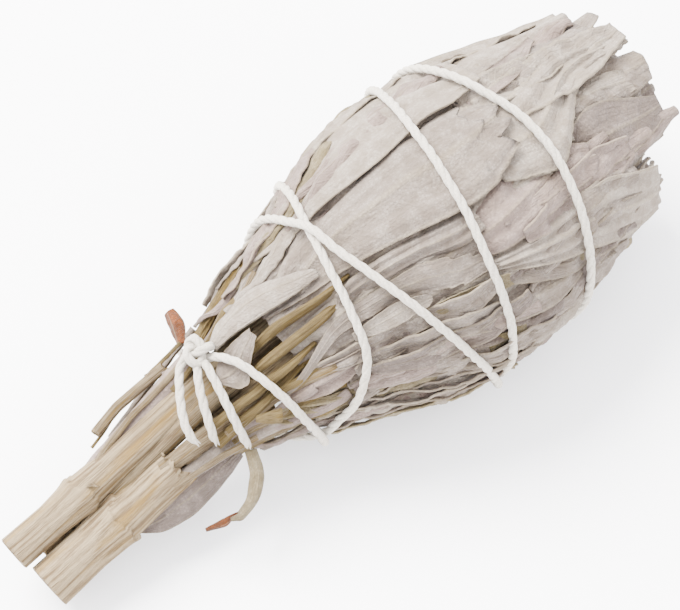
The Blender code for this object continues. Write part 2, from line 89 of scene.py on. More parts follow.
for old in list(bpy.data.objects):
    if old.name not in frame["nodes"] and old not in frame["bodies"].values():
        bpy.data.objects.remove(old, do_unlink=True)
print("nodes:", len(frame["nodes"]), "box:", [tuple(round(v / MM, 1) for v in c) for c in cad_box])

# %% [markdown]
# ## The camera
#
# The bunch lies flat, and we look down on it from its stem end with a long lens, so its far end
# is hardly smaller than its near one. The camera aims a little to one side of the middle, which
# puts the cut stems in one corner of the frame and the leaf tips in the other.

# %% Make the camera
VIEW_AZIMUTH = -38.5
VIEW_ELEVATION = 62.0
VIEW_DISTANCE = 0.42
LENS = 161.2
AIM_OFFSET = Vector((0.0008, -0.0009, 0.0176))


def direction(azimuth, elevation):
    """The unit vector toward a viewer at these angles in degrees."""
    turn, rise = math.radians(azimuth), math.radians(elevation)
    return Vector((math.sin(turn) * math.cos(rise), -math.cos(turn) * math.cos(rise), math.sin(rise)))


def make_camera():
    low, high = cad_box
    aim = Vector(((low.x + high.x) / 2, (low.y + high.y) / 2, low.z)) + AIM_OFFSET
    back = direction(VIEW_AZIMUTH, VIEW_ELEVATION)
    lens = bpy.data.cameras.new("camera")
    lens.lens = LENS
    lens.clip_start, lens.clip_end = 0.01, 10.0
    camera = bpy.data.objects.new("camera", lens)
    camera.location = aim + back * VIEW_DISTANCE
    camera.rotation_euler = (-back).to_track_quat("-Z", "Y").to_euler()
    bpy.context.scene.collection.objects.link(camera)
    bpy.context.scene.camera = camera
    return camera


camera = make_camera()
print("camera at", tuple(round(v, 3) for v in camera.location))

# %% [markdown]
# ## The wrap
#
# Everything on a bunch is wrapped round one bent line, so places are easiest to give as three
# numbers: a station along the bunch in millimetres, an angle round it in degrees (0 is up, and it
# grows toward the front), and a radius. The line and the girth are the plain model's own, and so
# is the shift that stands it on its origin.

# %% Set up the wrap
CENTRE_STATIONS = (0, 15, 30, 45, 60, 75, 95, 110)
CENTRE_SIDE = (-1.2, -0.2, 0.5, 0.5, 0.2, 0.2, 0.8, 1.5)
CENTRE_HEIGHT = (6.6, 9.3, 13.0, 16.0, 18.2, 19.3, 18.5, 17.5)
GIRTH_STATIONS = (0, 14, 27, 34, 41, 48, 54, 63, 68, 73, 81, 86, 93, 100, 112)
GIRTH_RADII = (6.2, 6.2, 7.2, 9.0, 11.8, 14.2, 16.8, 20.0, 20.9, 21.1, 20.4, 19.2, 17.6, 16.2, 14.5)
LAST_STATION = 118.0
KNOT_STATION, KNOT_ANGLE = 32.6, -24.0
SHIFT = np.array((-52.908, -1.039, -0.024))


def rounded(stations, values, reach=4.0):
    """A smooth curve through a short list of sizes, as a function of the station."""
    fine = np.arange(-10.0, LAST_STATION + 10.0, 0.5)
    line = np.interp(fine, stations, values)
    kernel = np.hanning(int(4 * reach) + 1)
    padded = np.pad(line, len(kernel) // 2, mode="edge")
    smooth = np.convolve(padded, kernel / kernel.sum(), mode="valid")
    return lambda station: np.interp(station, fine, smooth)


centre_side = rounded(CENTRE_STATIONS, CENTRE_SIDE)
centre_height = rounded(CENTRE_STATIONS, CENTRE_HEIGHT)
girth = rounded(GIRTH_STATIONS, GIRTH_RADII, reach=2.5)


def on_bunch(station, angle, radius):
    """The point in metres at a station, an angle and a radius. Arrays work too."""
    turn = np.radians(angle)
    side = centre_side(station) - radius * np.sin(turn)
    height = centre_height(station) + radius * np.cos(turn)
    return (np.stack(np.broadcast_arrays(station, side, height), axis=-1) + SHIFT) * MM


def off_bunch(points):
    """The station, angle and radius of points in metres."""
    local = np.asarray(points) / MM - SHIFT
    station = local[..., 0]
    side = centre_side(station) - local[..., 1]
    height = local[..., 2] - centre_height(station)
    return station, np.degrees(np.arctan2(side, height)), np.hypot(side, height)


knot_low, knot_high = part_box("string_knot")
knot_place = off_bunch(np.array((knot_low + knot_high) / 2))
print("the plain knot is at station %.1f, angle %.0f, radius %.1f" % tuple(float(v) for v in knot_place))

# %% [markdown]
# ## The string's route
#
# One length of cotton goes five times round the bunch: out from the knot, up to the widest part,
# over the shoulder, and back down to the knot. It is listed as the angle wound so far and the
# station reached. The string lies on the leaves, so its radius is found by looking inward from
# outside until a leaf is met, here and a little to both sides. It is taut, so it bridges the
# hollows between leaves, and it never goes below the floor.

# %% Find where the string lies
STRING_DIAMETER = 1.3
STRING_ROUTE = (
    (-22, 33.1), (-8, 34.0), (5, 35.2), (30, 36.7), (60, 38.2), (85, 39.6), (110, 41.2), (160, 44),
    (220, 47), (285, 50.2), (345, 52.3), (365, 53.2), (395, 56), (420, 59), (450, 63), (470, 65.4),
    (505, 69.4), (540, 71.6), (580, 74.6), (620, 78), (660, 79.8), (690, 80.8), (705, 82),
    (725, 84), (745, 84.3),
    (765, 83.6), (790, 82.2), (820, 81), (860, 80.2), (900, 79.6), (940, 78.8), (980, 77.0),
    (1010, 74.8), (1035, 73), (1060, 71), (1090, 69.2), (1125, 67.6), (1160, 67.3), (1190, 67.2),
    (1220, 65), (1260, 61.2), (1310, 58.4), (1365, 57), (1400, 54.6), (1425, 52.2), (1455, 50.5),
    (1495, 49), (1520, 46), (1545, 42.5), (1580, 39.5), (1620, 36.8), (1680, 34.2), (1730, 32.6),
    (1760, 32),
)
STRING_PRESS = 0.25
STRING_SAMPLES = 1500
BESIDE = (-1.2, -0.6, 0.0, 0.6, 1.2)
PULL_ROUNDS = 80
FLOOR_GAP = 0.05


def joined_tree(names):
    """One search tree over the surfaces of several nodes."""
    points, faces = [], []
    for name in names:
        mesh = frame["nodes"][name].data
        start = len(points)
        points += [vertex.co.copy() for vertex in mesh.vertices]
        faces += [tuple(start + index for index in face.vertices) for face in mesh.polygons]
    return BVHTree.FromPolygons(points, faces)


body_tree = joined_tree([name for name in frame["nodes"] if not name.startswith(("string", "scrap"))])


def skin_radius(station, angle):
    """How far out the bunch reaches at a place, in millimetres."""
    outside = Vector(on_bunch(station, angle, 40.0))
    inward = (Vector(on_bunch(station, angle, 0.0)) - outside).normalized()
    hit = body_tree.ray_cast(outside, inward)[0]
    return 0.0 if hit is None else off_bunch(np.array(hit))[2]


def smooth_line(values, count):
    """A line of values with its kinks rubbed out, ends kept."""
    kernel = np.hanning(2 * count + 3)[1:-1]
    return np.convolve(np.pad(values, count, mode="edge"), kernel / kernel.sum(), mode="valid")


def radius_at_floor(station, angle, gap):
    """The radius at which a place comes within a gap of the floor. It is huge on the upper side."""
    down = np.maximum(-np.cos(np.radians(angle)), 1e-3)
    return (centre_height(station) - gap) / down


def distance_along(path):
    """How far each point of a path is from its start."""
    return np.concatenate([[0.0], np.cumsum(np.linalg.norm(np.diff(path, axis=0), axis=1))])


def string_lay(route, samples):
    """Stations, angles and radii of a strand that lies on the bunch along a route."""
    wound, stations = np.array(route, float).T
    angle = np.linspace(wound[0], wound[-1], samples)
    station = smooth_line(np.interp(angle, wound, stations), 12)
    skin = np.array([max(skin_radius(s + ds, a) for ds in BESIDE) for s, a in zip(station, angle)])
    skin = np.maximum(skin, 0.8 * girth(station))
    for _ in range(PULL_ROUNDS):
        padded = np.pad(skin, 1, mode="edge")
        skin = np.maximum(skin, 0.5 * (padded[:-2] + padded[2:]) - 0.002)
    radius = smooth_line(skin, 6) + STRING_DIAMETER / 2 - STRING_PRESS
    limit = radius_at_floor(station, angle, STRING_DIAMETER / 2 + FLOOR_GAP)
    return station, angle, np.minimum(radius, limit)


string_station, string_angle, string_radius = string_lay(STRING_ROUTE, STRING_SAMPLES)
string_path = on_bunch(string_station, string_angle, string_radius)
print(f"the winding is {distance_along(string_path)[-1] / MM:.0f} mm of string")

# %% [markdown]
# ## Where the string presses
#
# A leaf under a strand is pressed in. The same small dent goes into every layer there, so the
# layers keep their order. The dent depends only on how far a place is from the nearest strand.

# %% Measure the dents
DENT_DEEP, DENT_NARROW = 0.35, 1.3
DENT_SHALLOW, DENT_WIDE = 0.25, 4.0


def string_distance(station, angle):
    """Millimetres along the bunch from each place to the nearest strand."""
    nearest = np.full(np.shape(station), 99.0)
    for turn in range(-1, 7):
        here = angle + 360.0 * turn
        inside = (here >= string_angle[0]) & (here <= string_angle[-1])
        away = np.abs(np.interp(here, string_angle, string_station) - station)
        nearest = np.where(inside, np.minimum(nearest, away), nearest)
    return nearest


def dent(station, angle):
    """How deep the string presses a place in: a narrow groove in a wide shallow one."""
    away = string_distance(station, angle)
    groove = DENT_DEEP * np.exp(-((away / DENT_NARROW) ** 2))
    return groove + DENT_SHALLOW * np.exp(-((away / DENT_WIDE) ** 2))


print("deepest dent:", DENT_DEEP + DENT_SHALLOW, "mm")

# %% [markdown]
# ## Working with shader nodes
#
# A material is a small sum, so it reads best as one. `Socket` wraps a node's output and lets us
# write `1 - mask * 0.5`; each operator adds the Math node that does it. Nearly every other node
# comes from one method, `Finish.node`, which takes its type, its settings and its inputs.

# %% Wrap sockets so that they can be added and multiplied


class Socket:
    """A node's output that takes part in sums."""

    def __init__(self, finish, output):
        self.finish, self.output = finish, output

    def math(self, operation, *others):
        values = dict(enumerate((self, *others)))
        return self.finish.node("ShaderNodeMath", {"operation": operation}, values)

    def __add__(self, other):
        return self.math("ADD", other)

    def __sub__(self, other):
        return self.math("SUBTRACT", other)

    def __rsub__(self, other):
        return self.finish.node("ShaderNodeMath", {"operation": "SUBTRACT"}, {0: other, 1: self})

    def __mul__(self, other):
        return self.math("MULTIPLY", other)

    __radd__ = __add__
    __rmul__ = __mul__

    def between(self, low, high):
        """0 at or below low, 1 at or above high, and smooth in between."""
        inputs = {"Value": self, "From Min": low, "From Max": high}
        return self.finish.node("ShaderNodeMapRange", {"interpolation_type": "SMOOTHSTEP"}, inputs)


class Finish:
    """A material under construction."""

    def __init__(self, name, roughness=0.9, sheen=0.0):
        self.material = bpy.data.materials.new(name)
        self.material.use_nodes = True
        self.tree = self.material.node_tree
        self.shader = self.tree.nodes["Principled BSDF"]
        self.shader.inputs["Roughness"].default_value = roughness
        self.shader.inputs["Sheen Weight"].default_value = sheen
        self.shader.inputs["Sheen Roughness"].default_value = 0.6
        self.shader.inputs["Specular IOR Level"].default_value = 0.12
        coordinates = self.tree.nodes.new("ShaderNodeTexCoord")
        self.place = Socket(self, coordinates.outputs["Object"])
        self.uv = Socket(self, coordinates.outputs["UV"])

    def node(self, kind, settings, inputs, output=0):
        made = self.tree.nodes.new(kind)
        for key, value in settings.items():
            setattr(made, key, value)
        for key, value in inputs.items():
            self.feed(made.inputs[key], value)
        return Socket(self, made.outputs[output])

    def feed(self, socket, value):
        if isinstance(value, Socket):
            self.tree.links.new(value.output, socket)
        else:
            socket.default_value = value

    def noise(self, scale, detail=2.0, where=None, roughness=0.55, distortion=0.0):
        inputs = {"Vector": where or self.place, "Scale": scale, "Detail": detail,
                  "Roughness": roughness, "Distortion": distortion}
        return self.node("ShaderNodeTexNoise", {}, inputs)

    def cells(self, scale):
        return self.node("ShaderNodeTexVoronoi", {}, {"Vector": self.place, "Scale": scale})

    def map_scaled(self, along, across):
        """The surface's own map, scaled along and across it."""
        inputs = {0: self.uv, 1: (along, across, 1.0)}
        return self.node("ShaderNodeVectorMath", {"operation": "MULTIPLY"}, inputs)

    def parts(self, vector):
        made = self.tree.nodes.new("ShaderNodeSeparateXYZ")
        self.tree.links.new(vector.output, made.inputs[0])
        return [Socket(self, output) for output in made.outputs]

    def blend(self, factor, first, second):
        """A mix of two colours. The node's colour sockets are inputs 6 and 7, and output 2."""
        colours = [(*value, 1.0) if isinstance(value, tuple) else value for value in (first, second)]
        settings = {"data_type": "RGBA", "clamp_factor": True}
        return self.node("ShaderNodeMix", settings, {0: factor, 6: colours[0], 7: colours[1]}, 2)

    def finish(self, colour, height, bump_distance):
        self.feed(self.shader.inputs["Base Color"], colour)
        inputs = {"Height": height, "Distance": bump_distance, "Strength": 1.0}
        self.feed(self.shader.inputs["Normal"], self.node("ShaderNodeBump", {}, inputs))
        return self.material


print("shader helpers ready")

# %% [markdown]
# ## The leaf's finish
#
# White sage is covered in a felt of fine pale hairs, so a dry leaf is nearly white and quite
# matt, with a pebbled skin, a tan midrib and rim, and faint side veins. It darkens where it is
# bruised or thin, and some leaves keep a little olive or dry to pink. The pattern follows the
# leaf, so the veins use its own map, where u runs from stalk to tip and v from rim to rim.
# The low parts of its wrinkles are painted darker toward the shade colour, as painted shade.

# %% Define the leaf finish
HAIR = 5200.0
PEBBLE = 2300.0
MOTTLE = 420.0
SPECK = 330.0
WANDER = 260.0
BLOTCH = 110.0
VEIN_PAIRS = 11.0
VEIN_STRENGTH = 0.10
RIB_COLOUR = (0.225, 0.182, 0.112)
SPECK_COLOUR = (0.09, 0.065, 0.04)
LEAF_BUMP = 0.0003


def leaf_finish(name, pale, shade, patch, patch_amount):
    made = Finish(name, roughness=0.95, sheen=0.06)
    u, v, _ = made.parts(made.uv)
    away = (v - 0.5).math("ABSOLUTE") * 2.0
    wander = made.noise(WANDER, 2.0)
    hair = made.noise(HAIR, 3.0, roughness=0.7)
    wrinkle = made.noise(1.0, 4.0, made.map_scaled(4.0, 11.0), distortion=0.9)
    pebble = made.cells(PEBBLE)
    mottle = made.noise(MOTTLE, 4.0, roughness=0.62)
    blotch = made.noise(BLOTCH, 3.0, distortion=0.6)

    midrib = 1.0 - (away + (wander - 0.5) * 0.06).between(0.02, 0.11)
    slanted = (u - away * 0.13 + (wander - 0.5) * 0.05) * VEIN_PAIRS
    ridge = 1.0 - (slanted.math("FRACT") - 0.5).math("ABSOLUTE").between(0.02, 0.12)
    veins = ridge * away.between(0.04, 0.2) * (1.0 - away.between(0.75, 1.0))
    rim = away.between(0.86, 0.985)

    colour = made.blend(mottle.between(0.38, 0.62), shade, pale)
    colour = made.blend(blotch.between(0.52, 0.72) * patch_amount, colour, patch)
    # painted shade: where the wrinkles run low, the colour is pulled toward the shade colour
    colour = made.blend((1.0 - wrinkle.between(0.34, 0.48)) * 0.5, colour, shade)
    colour = made.blend(veins * VEIN_STRENGTH, colour, pale)
    colour = made.blend(midrib * 0.35, colour, RIB_COLOUR)
    colour = made.blend(rim * 0.45, colour, RIB_COLOUR)
    colour = made.blend(pebble.between(0.2, 0.62) * 0.5, colour, shade)
    colour = made.blend((1.0 - hair.between(0.36, 0.54)) * 0.5, colour, shade)
    specks = (1.0 - made.cells(SPECK).between(0.05, 0.12)) * blotch.between(0.45, 0.6)
    colour = made.blend(specks * 0.55, colour, SPECK_COLOUR)
    height = hair * 0.5 + pebble * 0.4 + mottle * 0.9 + wrinkle * 1.2 + veins * 0.18 + midrib * 0.4
    return made.finish(colour, height, LEAF_BUMP)


LEAF_COLOURS = {
    # slot: pale, shade, patch, how much of the patch colour shows
    "leaf_pale": ((0.245, 0.212, 0.176), (0.15, 0.12, 0.092), (0.178, 0.146, 0.098), 0.45),
    "leaf_grey": ((0.20, 0.168, 0.14), (0.112, 0.087, 0.068), (0.144, 0.113, 0.073), 0.5),
    "leaf_shade": ((0.142, 0.112, 0.096), (0.076, 0.057, 0.046), (0.095, 0.067, 0.042), 0.5),
    "leaf_pink": ((0.205, 0.157, 0.132), (0.125, 0.091, 0.075), (0.168, 0.118, 0.082), 0.6),
    "leaf_olive": ((0.172, 0.14, 0.085), (0.095, 0.072, 0.036), (0.105, 0.08, 0.028), 0.8),
    "scrap_brown": ((0.13, 0.034, 0.004), (0.048, 0.014, 0.003), (0.15, 0.06, 0.012), 0.5),
}
LEAF_LOOKS = {
    slot: leaf_finish("sage_" + slot.split("_")[1], *colours) for slot, colours in LEAF_COLOURS.items()
}
print("leaf finishes:", ", ".join(LEAF_LOOKS))

# %% [markdown]
# ## Reading a leaf from the plain model
#
# In the plain model a leaf is a closed sheet with its corners in columns: every column lies at
# one station, and holds pairs of corners, outer and inner. Sorting the corners back into columns
# gives a small net of angles and radii, which is all that a finer leaf needs.

# %% Read a leaf's net
SAME_COLUMN = 0.03
SAME_PAIR = 0.45


def leaf_net(name):
    """Stations, and grids of angle and radius, of a leaf node's outer face."""
    points = np.array([vertex.co for vertex in frame["nodes"][name].data.vertices])
    station, angle, radius = off_bunch(points)
    middle = math.degrees(math.atan2(np.sin(np.radians(angle)).mean(), np.cos(np.radians(angle)).mean()))
    angle = (angle - middle + 180.0) % 360.0 - 180.0 + middle
    columns = []
    for level in np.unique(np.round(station, 2)):
        inside = np.abs(station - level) < SAME_COLUMN
        pairs = {}
        for a, r in zip(np.round(angle[inside], 1), radius[inside]):
            key = min(pairs, key=lambda known: abs(known - a), default=None)
            key = a if key is None or abs(key - a) > SAME_PAIR else key
            pairs[key] = max(pairs.get(key, 0.0), r)
        columns.append((level, sorted(pairs.items())))
    most = max(len(column) for _, column in columns)
    columns = [entry for entry in columns if len(entry[1]) == most]
    stations = np.array([level for level, _ in columns])
    angles = np.array([[a for a, _ in column] for _, column in columns])
    radii = np.array([[r for _, r in column] for _, column in columns])
    return stations, angles, radii


print("leaf_centre has a net of", leaf_net("leaf_centre")[1].shape, "corners")

# %% [markdown]
# ## Shaping a leaf
#
# A fine flat grid is given a thickness first, and only then bent: each of its corners looks up
# its place in the leaf's net. On the way it gets what a dry leaf has. Its rims curl, its skin
# buckles, pleats run along it, its edge is finely scalloped, and an end may be torn. All of this
# changes only the station, the angle and the radius, so the leaf stays in its layer.

# %% Define the shape of a leaf
LEAF_THICKNESS = 0.32
LEAF_ALONG, LEAF_ACROSS = 64, 26
CREASE = 0.38
PLAIN_HABIT = {
    "near": (0.25, 20),  # the rims: share of the half width, turn in degrees
    "far": (0.25, 20),
    "scallop": 0.07,  # depths and sizes are in millimetres
    "torn": 0.0,
    "round_tip": 0.0,
    "buckle": 0.34,
    "buckle_size": 6.0,
    "pleats": (0, 0.0),  # how many, and their depth
    "rib": (0.0, 0.08),  # place across the leaf from -1 to 1, and height
    "cup": 0.0,
}


def by_column(change, grid):
    """The grid whose columns are this grid's, each put through a function."""
    return np.stack([change(column) for column in grid.T], axis=1)


def resampled(values, count, smoothing):
    """The rows of a grid spread over more rows, and eased."""
    source = np.linspace(0.0, 1.0, len(values))
    target = np.linspace(0.0, 1.0, count)
    spread = by_column(lambda column: np.interp(target, source, column), values)
    eased = by_column(lambda column: smooth_line(column, smoothing), spread)
    eased[0], eased[-1] = spread[0], spread[-1]
    return eased


def fine_net(net, along, across):
    """A leaf's net with this many steps along and across it."""
    stations, angles, radii = net
    station = np.linspace(stations[0], stations[-1], along + 1)
    ease = max(1, (along // max(len(stations) - 1, 1)) // 2)
    angle = resampled(angles, along + 1, ease)
    radius = resampled(radii, along + 1, ease)
    ease = max(1, (across // max(angles.shape[1] - 1, 1)) // 2)
    angle = resampled(angle.T, across + 1, 1).T
    radius = resampled(radius.T, across + 1, ease).T
    return np.broadcast_to(station[:, None], angle.shape).copy(), angle, radius


def ripple(station, angle, radius, size, seed):
    """Smooth noise between -1 and 1 over the leaf, with bumps about this many millimetres wide."""
    across = np.radians(angle) * radius
    flat = np.stack([station / size, across / size, np.full(station.shape, float(seed))], axis=-1)
    values = [noise.noise(Vector(point)) for point in flat.reshape(-1, 3)]
    return np.array(values).reshape(station.shape)


def curled(angle, radius, near, far):
    """Roll the rims: each rim is (share of the half width, turn in degrees), plus is outward."""
    middle = 0.5 * (angle[:, :1] + angle[:, -1:])
    across = np.radians(angle - middle) * radius
    half = np.maximum(np.abs(across).max(axis=1, keepdims=True), 0.2)
    share = across / half
    for sign, (width, turn) in ((-1, near), (1, far)):
        past = np.clip(sign * share - (1 - width), 0.0, None) / width
        bend = math.radians(turn)
        arc = width * half / bend
        side = arc * np.sin(bend * past)
        lift = arc * (1 - np.cos(bend * past))
        inside = sign * (1 - width) * half
        across = np.where(past > 0, inside + sign * side, across)
        radius = np.where(past > 0, radius + lift, radius)
    return middle + np.degrees(across / np.maximum(radius, 2.0)), radius


def scalloped(station, angle, radius, depth, seed):
    """A finely scalloped, slightly irregular rim on both sides, depth in millimetres."""
    middle = 0.5 * (angle[:, :1] + angle[:, -1:])
    length = station[:, :1]
    wave = np.abs(np.sin(length * 2.1 + seed)) ** 0.7 + 0.6 * np.sin(length * 0.7 + 2 * seed)
    half = np.maximum(np.abs(angle - middle).max(axis=1, keepdims=True), 0.1)
    share = (angle - middle) / half
    grow = 1 + depth * (wave - 0.6) / np.maximum(np.radians(half) * radius, 1.0) * np.abs(share) ** 3
    return middle + (angle - middle) * grow


def leaf_places(net, look, seed):
    """Where every corner of a leaf's outer face goes."""
    flat = fine_net(net, LEAF_ALONG, LEAF_ACROSS)
    station, angle, radius = flat
    part = np.linspace(0.0, 1.0, LEAF_ALONG + 1)[:, None]
    share = np.linspace(-1.0, 1.0, LEAF_ACROSS + 1)[None, :]
    angle = scalloped(station, angle, radius, look["scallop"], seed)
    if look["torn"]:
        tear = ripple(*flat, 1.6, seed + 31) + 0.6 * ripple(*flat, 5.0, seed + 7)
        station = station + look["torn"] * tear * part**6 * 3.0
    station = station - look["round_tip"] * share**2 * part**4
    angle, radius = curled(angle, radius, look["near"], look["far"])
    radius = radius + look["buckle"] * ripple(*flat, look["buckle_size"], seed)
    radius = radius + CREASE * ripple(flat[0] * 0.3, *flat[1:], 2.2, seed + 50)
    pleats, pleat_depth = look["pleats"]
    if pleats:
        wave = np.cos(math.pi * pleats * share + 0.8 * ripple(*flat, 14.0, seed + 3))
        fade = np.sin(math.pi * np.clip(part, 0.02, 0.98)) ** 0.3
        radius = radius + pleat_depth * np.sign(wave) * np.abs(wave) ** 0.7 * fade
    rib_place, rib_height = look["rib"]
    radius = radius + rib_height * np.exp(-(((share - rib_place) / 0.05) ** 2)) * (1 - 0.6 * part)
    radius = radius + look["cup"] * (share**2 - 0.4) - dent(station, angle)
    height = centre_height(station) + radius * np.cos(np.radians(angle))
    return station, angle, np.where(height < FLOOR_GAP, radius_at_floor(station, angle, FLOOR_GAP), radius)


def new_bmesh():
    """An empty bmesh with a map."""
    bm = bmesh.new()
    bm.loops.layers.uv.new("UVMap")
    return bm


def into_mesh(name, bm):
    """The mesh of a bmesh, smooth, with its faces outward."""
    if bm.calc_volume(signed=True) < 0:
        bmesh.ops.reverse_faces(bm, faces=bm.faces[:])
    for face in bm.faces:
        face.smooth = True
    mesh = bpy.data.meshes.new(name)
    bm.to_mesh(mesh)
    bm.free()
    return mesh


def leaf_mesh(name, outer, inner):
    """A closed sheet between two nets of points, with u along the leaf and v across it."""
    along, across = outer.shape[0] - 1, outer.shape[1] - 1
    bm = new_bmesh()
    bmesh.ops.create_grid(bm, x_segments=along, y_segments=across, size=0.5, calc_uvs=True)
    bmesh.ops.solidify(bm, geom=bm.faces[:], thickness=1.0)
    flat = np.array([vert.co for vert in bm.verts])
    column = np.round((flat[:, 0] + 0.5) * along).astype(int)
    row = np.round((flat[:, 1] + 0.5) * across).astype(int)
    split = (flat[:, 2].max() + flat[:, 2].min()) / 2
    places = np.where((flat[:, 2] > split)[:, None], outer[column, row], inner[column, row])
    uv = bm.loops.layers.uv.active
    for vert, place, i, j in zip(bm.verts, places, column, row):
        vert.co = place
        for loop in vert.link_loops:
            loop[uv].uv = (i / along, j / across)
    return into_mesh(name, bm)


def put(name, mesh, finish):
    """Add a piece to the scene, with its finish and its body."""
    piece = bpy.data.objects.new(name, mesh)
    bpy.context.scene.collection.objects.link(piece)
    mesh.materials.append(finish)
    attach(piece, "root")
    return piece


def dress(name, mesh, finish, ending="dressed"):
    """Put a piece where a plain node is, and hide that node."""
    piece = put(f"{name}_{ending}", mesh, finish)
    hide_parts(name)


def make_leaf(name, look, slot, seed):
    station, angle, radius = leaf_places(leaf_net(name), look, seed)
    outer = on_bunch(station, angle, radius)
    inner = on_bunch(station, angle, radius - LEAF_THICKNESS)
    dress(name, leaf_mesh(name, outer, inner), LEAF_LOOKS[slot])


print("leaf shaper ready")

# %% [markdown]
# ## The leaves of the plain model
#
# Each leaf has its own habit. The big ones at the top are smooth and broad with turned rims, the
# ones along the lower side are folded into narrow pleats, and some end in a tear. Those habits
# are listed by name, and what a leaf's entry leaves out comes from the plain habit.

# %% Make the leaves
HABITS = {
    "leaf_neck_folded": {
        "near": (0.4, -30), "far": (0.22, 120), "buckle": 0.25, "rib": (0.2, 0.0), "cup": -0.7,
    },
    "leaf_neck_scrap": {
        "near": (0.3, 60), "far": (0.3, 50), "torn": 0.5, "buckle": 0.4, "buckle_size": 3.0,
    },
    "leaf_top_left": {
        "near": (0.3, 12), "far": (0.10, 60), "buckle": 0.5, "buckle_size": 9.0, "rib": (-0.3, 0.2),
        "pleats": (5, 0.28),
    },
    "leaf_centre": {
        "near": (0.2, 10), "far": (0.12, 45), "torn": 1.1, "buckle": 0.45, "buckle_size": 8.0,
        "rib": (-0.42, 0.4), "pleats": (3, 0.22),
    },
    "leaf_cut_pale": {"near": (0.3, 40), "far": (0.3, 45), "round_tip": 1.0, "buckle": 0.2},
    "leaf_right_short": {"near": (0.3, 40), "far": (0.3, 30), "torn": 0.3},
    "leaf_torn_flap": {"near": (0.2, 30), "far": (0.2, 50), "torn": 0.9, "buckle": 0.3},
    "leaf_band": {"near": (0.2, 20), "far": (0.2, 30), "buckle": 0.35, "pleats": (3, 0.25)},
    "leaf_pink": {"near": (0.2, 10), "far": (0.12, 60), "torn": 0.4, "buckle": 0.35, "pleats": (3, 0.2)},
    "leaf_right_long": {
        "near": (0.1, 30), "far": (0.15, 30), "buckle": 0.5, "buckle_size": 8.0, "pleats": (4, 0.3),
    },
    "leaf_upper_right": {
        "near": (0.2, 20), "far": (0.12, 40), "scallop": 0.3, "buckle": 0.6, "pleats": (3, 0.3),
    },
    "leaf_side_upper": {"near": (0.3, 40), "far": (0.3, 40)},
    "leaf_side_middle": {"near": (0.3, 40), "far": (0.2, 40), "pleats": (2, 0.3)},
    "leaf_side_narrow": {"near": (0.3, 60), "far": (0.3, 40), "pleats": (2, 0.45)},
    "leaf_side_lower": {"near": (0.3, 60), "far": (0.3, 40), "pleats": (4, 0.5)},
    "leaf_front_low": {"pleats": (5, 0.5)},
    "leaf_neck_pink": {"near": (0.3, 60), "far": (0.3, 60), "pleats": (2, 0.4)},
    "leaf_neck_lower": {"near": (0.3, 60), "far": (0.3, 60), "pleats": (3, 0.5)},
    "leaf_tip_small": {"near": (0.4, 80), "far": (0.4, 60)},
    "leaf_tip_rolled": {"near": (0.5, 60), "far": (0.35, -130), "buckle": 0.3},
    "leaf_tip_grey": {"near": (0.2, 30), "far": (0.3, 60), "buckle": 0.5},
    "leaf_tip_slip": {"near": (0.4, 70), "far": (0.4, 70)},
    "leaf_tip_dark": {"near": (0.3, 60), "far": (0.3, -70)},
}
SLOTS = {entry["node"]: entry["material_slot"] for entry in frame["record"]["subparts"]}
SEED_STEP = 3.7


def make_all_leaves():
    names = [name for name in sorted(frame["nodes"]) if name.startswith("leaf")]
    for index, name in enumerate(names):
        make_leaf(name, PLAIN_HABIT | HABITS.get(name, {}), SLOTS[name], index * SEED_STEP)
    print("leaves:", len(names))


make_all_leaves()

# %% [markdown]
# ## The bark's finish
#
# A dry sage stem is square-ish and ridged, and tan with dark and ochre streaks that run along it.
# The streaks use the stem's own map, squeezed much more around the stem than along it.

# %% Define the bark and stalk finishes
MOTTLE_COLOUR = (0.13, 0.085, 0.045)
BARK_BUMP = 0.0004


def bark_finish(name, pale, dark, ochre, ochre_amount):
    made = Finish(name, roughness=0.85)
    streaks = made.noise(1.0, 5.0, made.map_scaled(3.0, 26.0), roughness=0.65)
    bands = made.noise(1.0, 3.0, made.map_scaled(1.6, 7.0), distortion=0.4)
    fibres = made.noise(1.0, 3.0, made.map_scaled(10.0, 120.0), roughness=0.7)
    mottle = made.noise(900.0, 3.0)
    colour = made.blend(streaks.between(0.38, 0.58), dark, pale)
    colour = made.blend(bands.between(0.50, 0.66) * ochre_amount, colour, ochre)
    colour = made.blend(fibres.between(0.50, 0.68) * 0.35, colour, dark)
    colour = made.blend(mottle.between(0.56, 0.7) * 0.25, colour, MOTTLE_COLOUR)
    return made.finish(colour, streaks * 1.5 + fibres * 0.9 + mottle * 0.3, BARK_BUMP)


BARK_COLOURS = {
    # slot: pale, dark, ochre, how much of the ochre shows
    "stem": ((0.25, 0.192, 0.115), (0.105, 0.07, 0.037), (0.185, 0.114, 0.035), 0.9),
    "stalk": ((0.185, 0.132, 0.056), (0.078, 0.052, 0.02), (0.14, 0.088, 0.02), 0.8),
}
BARK_LOOKS = {slot: bark_finish(f"{slot}_bark", *colours) for slot, colours in BARK_COLOURS.items()}
print("bark finishes:", ", ".join(BARK_LOOKS))

# %% [markdown]
# ## Tubes along a path
#
# Stems, string plies and tails are all tubes. A flat grid is rolled up round its path: one way
# along it, the other way round it. Then the seam is merged and the ends are filled. The frame
# that carries the ring along the path turns as little as it can, so nothing twists by itself.

# %% Roll a grid into a tube
SEAM_REACH = 1e-7


def unit(rows):
    """The same vectors, one in each row, at length 1."""
    return rows / np.linalg.norm(rows, axis=1, keepdims=True)


def path_frames(path):
    """For each point of a path, two directions square to it that twist as little as possible."""
    tangents = unit(np.gradient(path, axis=0))
    normal = np.cross(tangents[0], (0.0, 0.0, 1.0))
    normal /= np.linalg.norm(normal)
    normals = []
    for tangent in tangents:
        normal = normal - tangent * np.dot(normal, tangent)
        normal /= np.linalg.norm(normal)
        normals.append(normal)
    normals = np.array(normals)
    return normals, np.cross(tangents, normals)


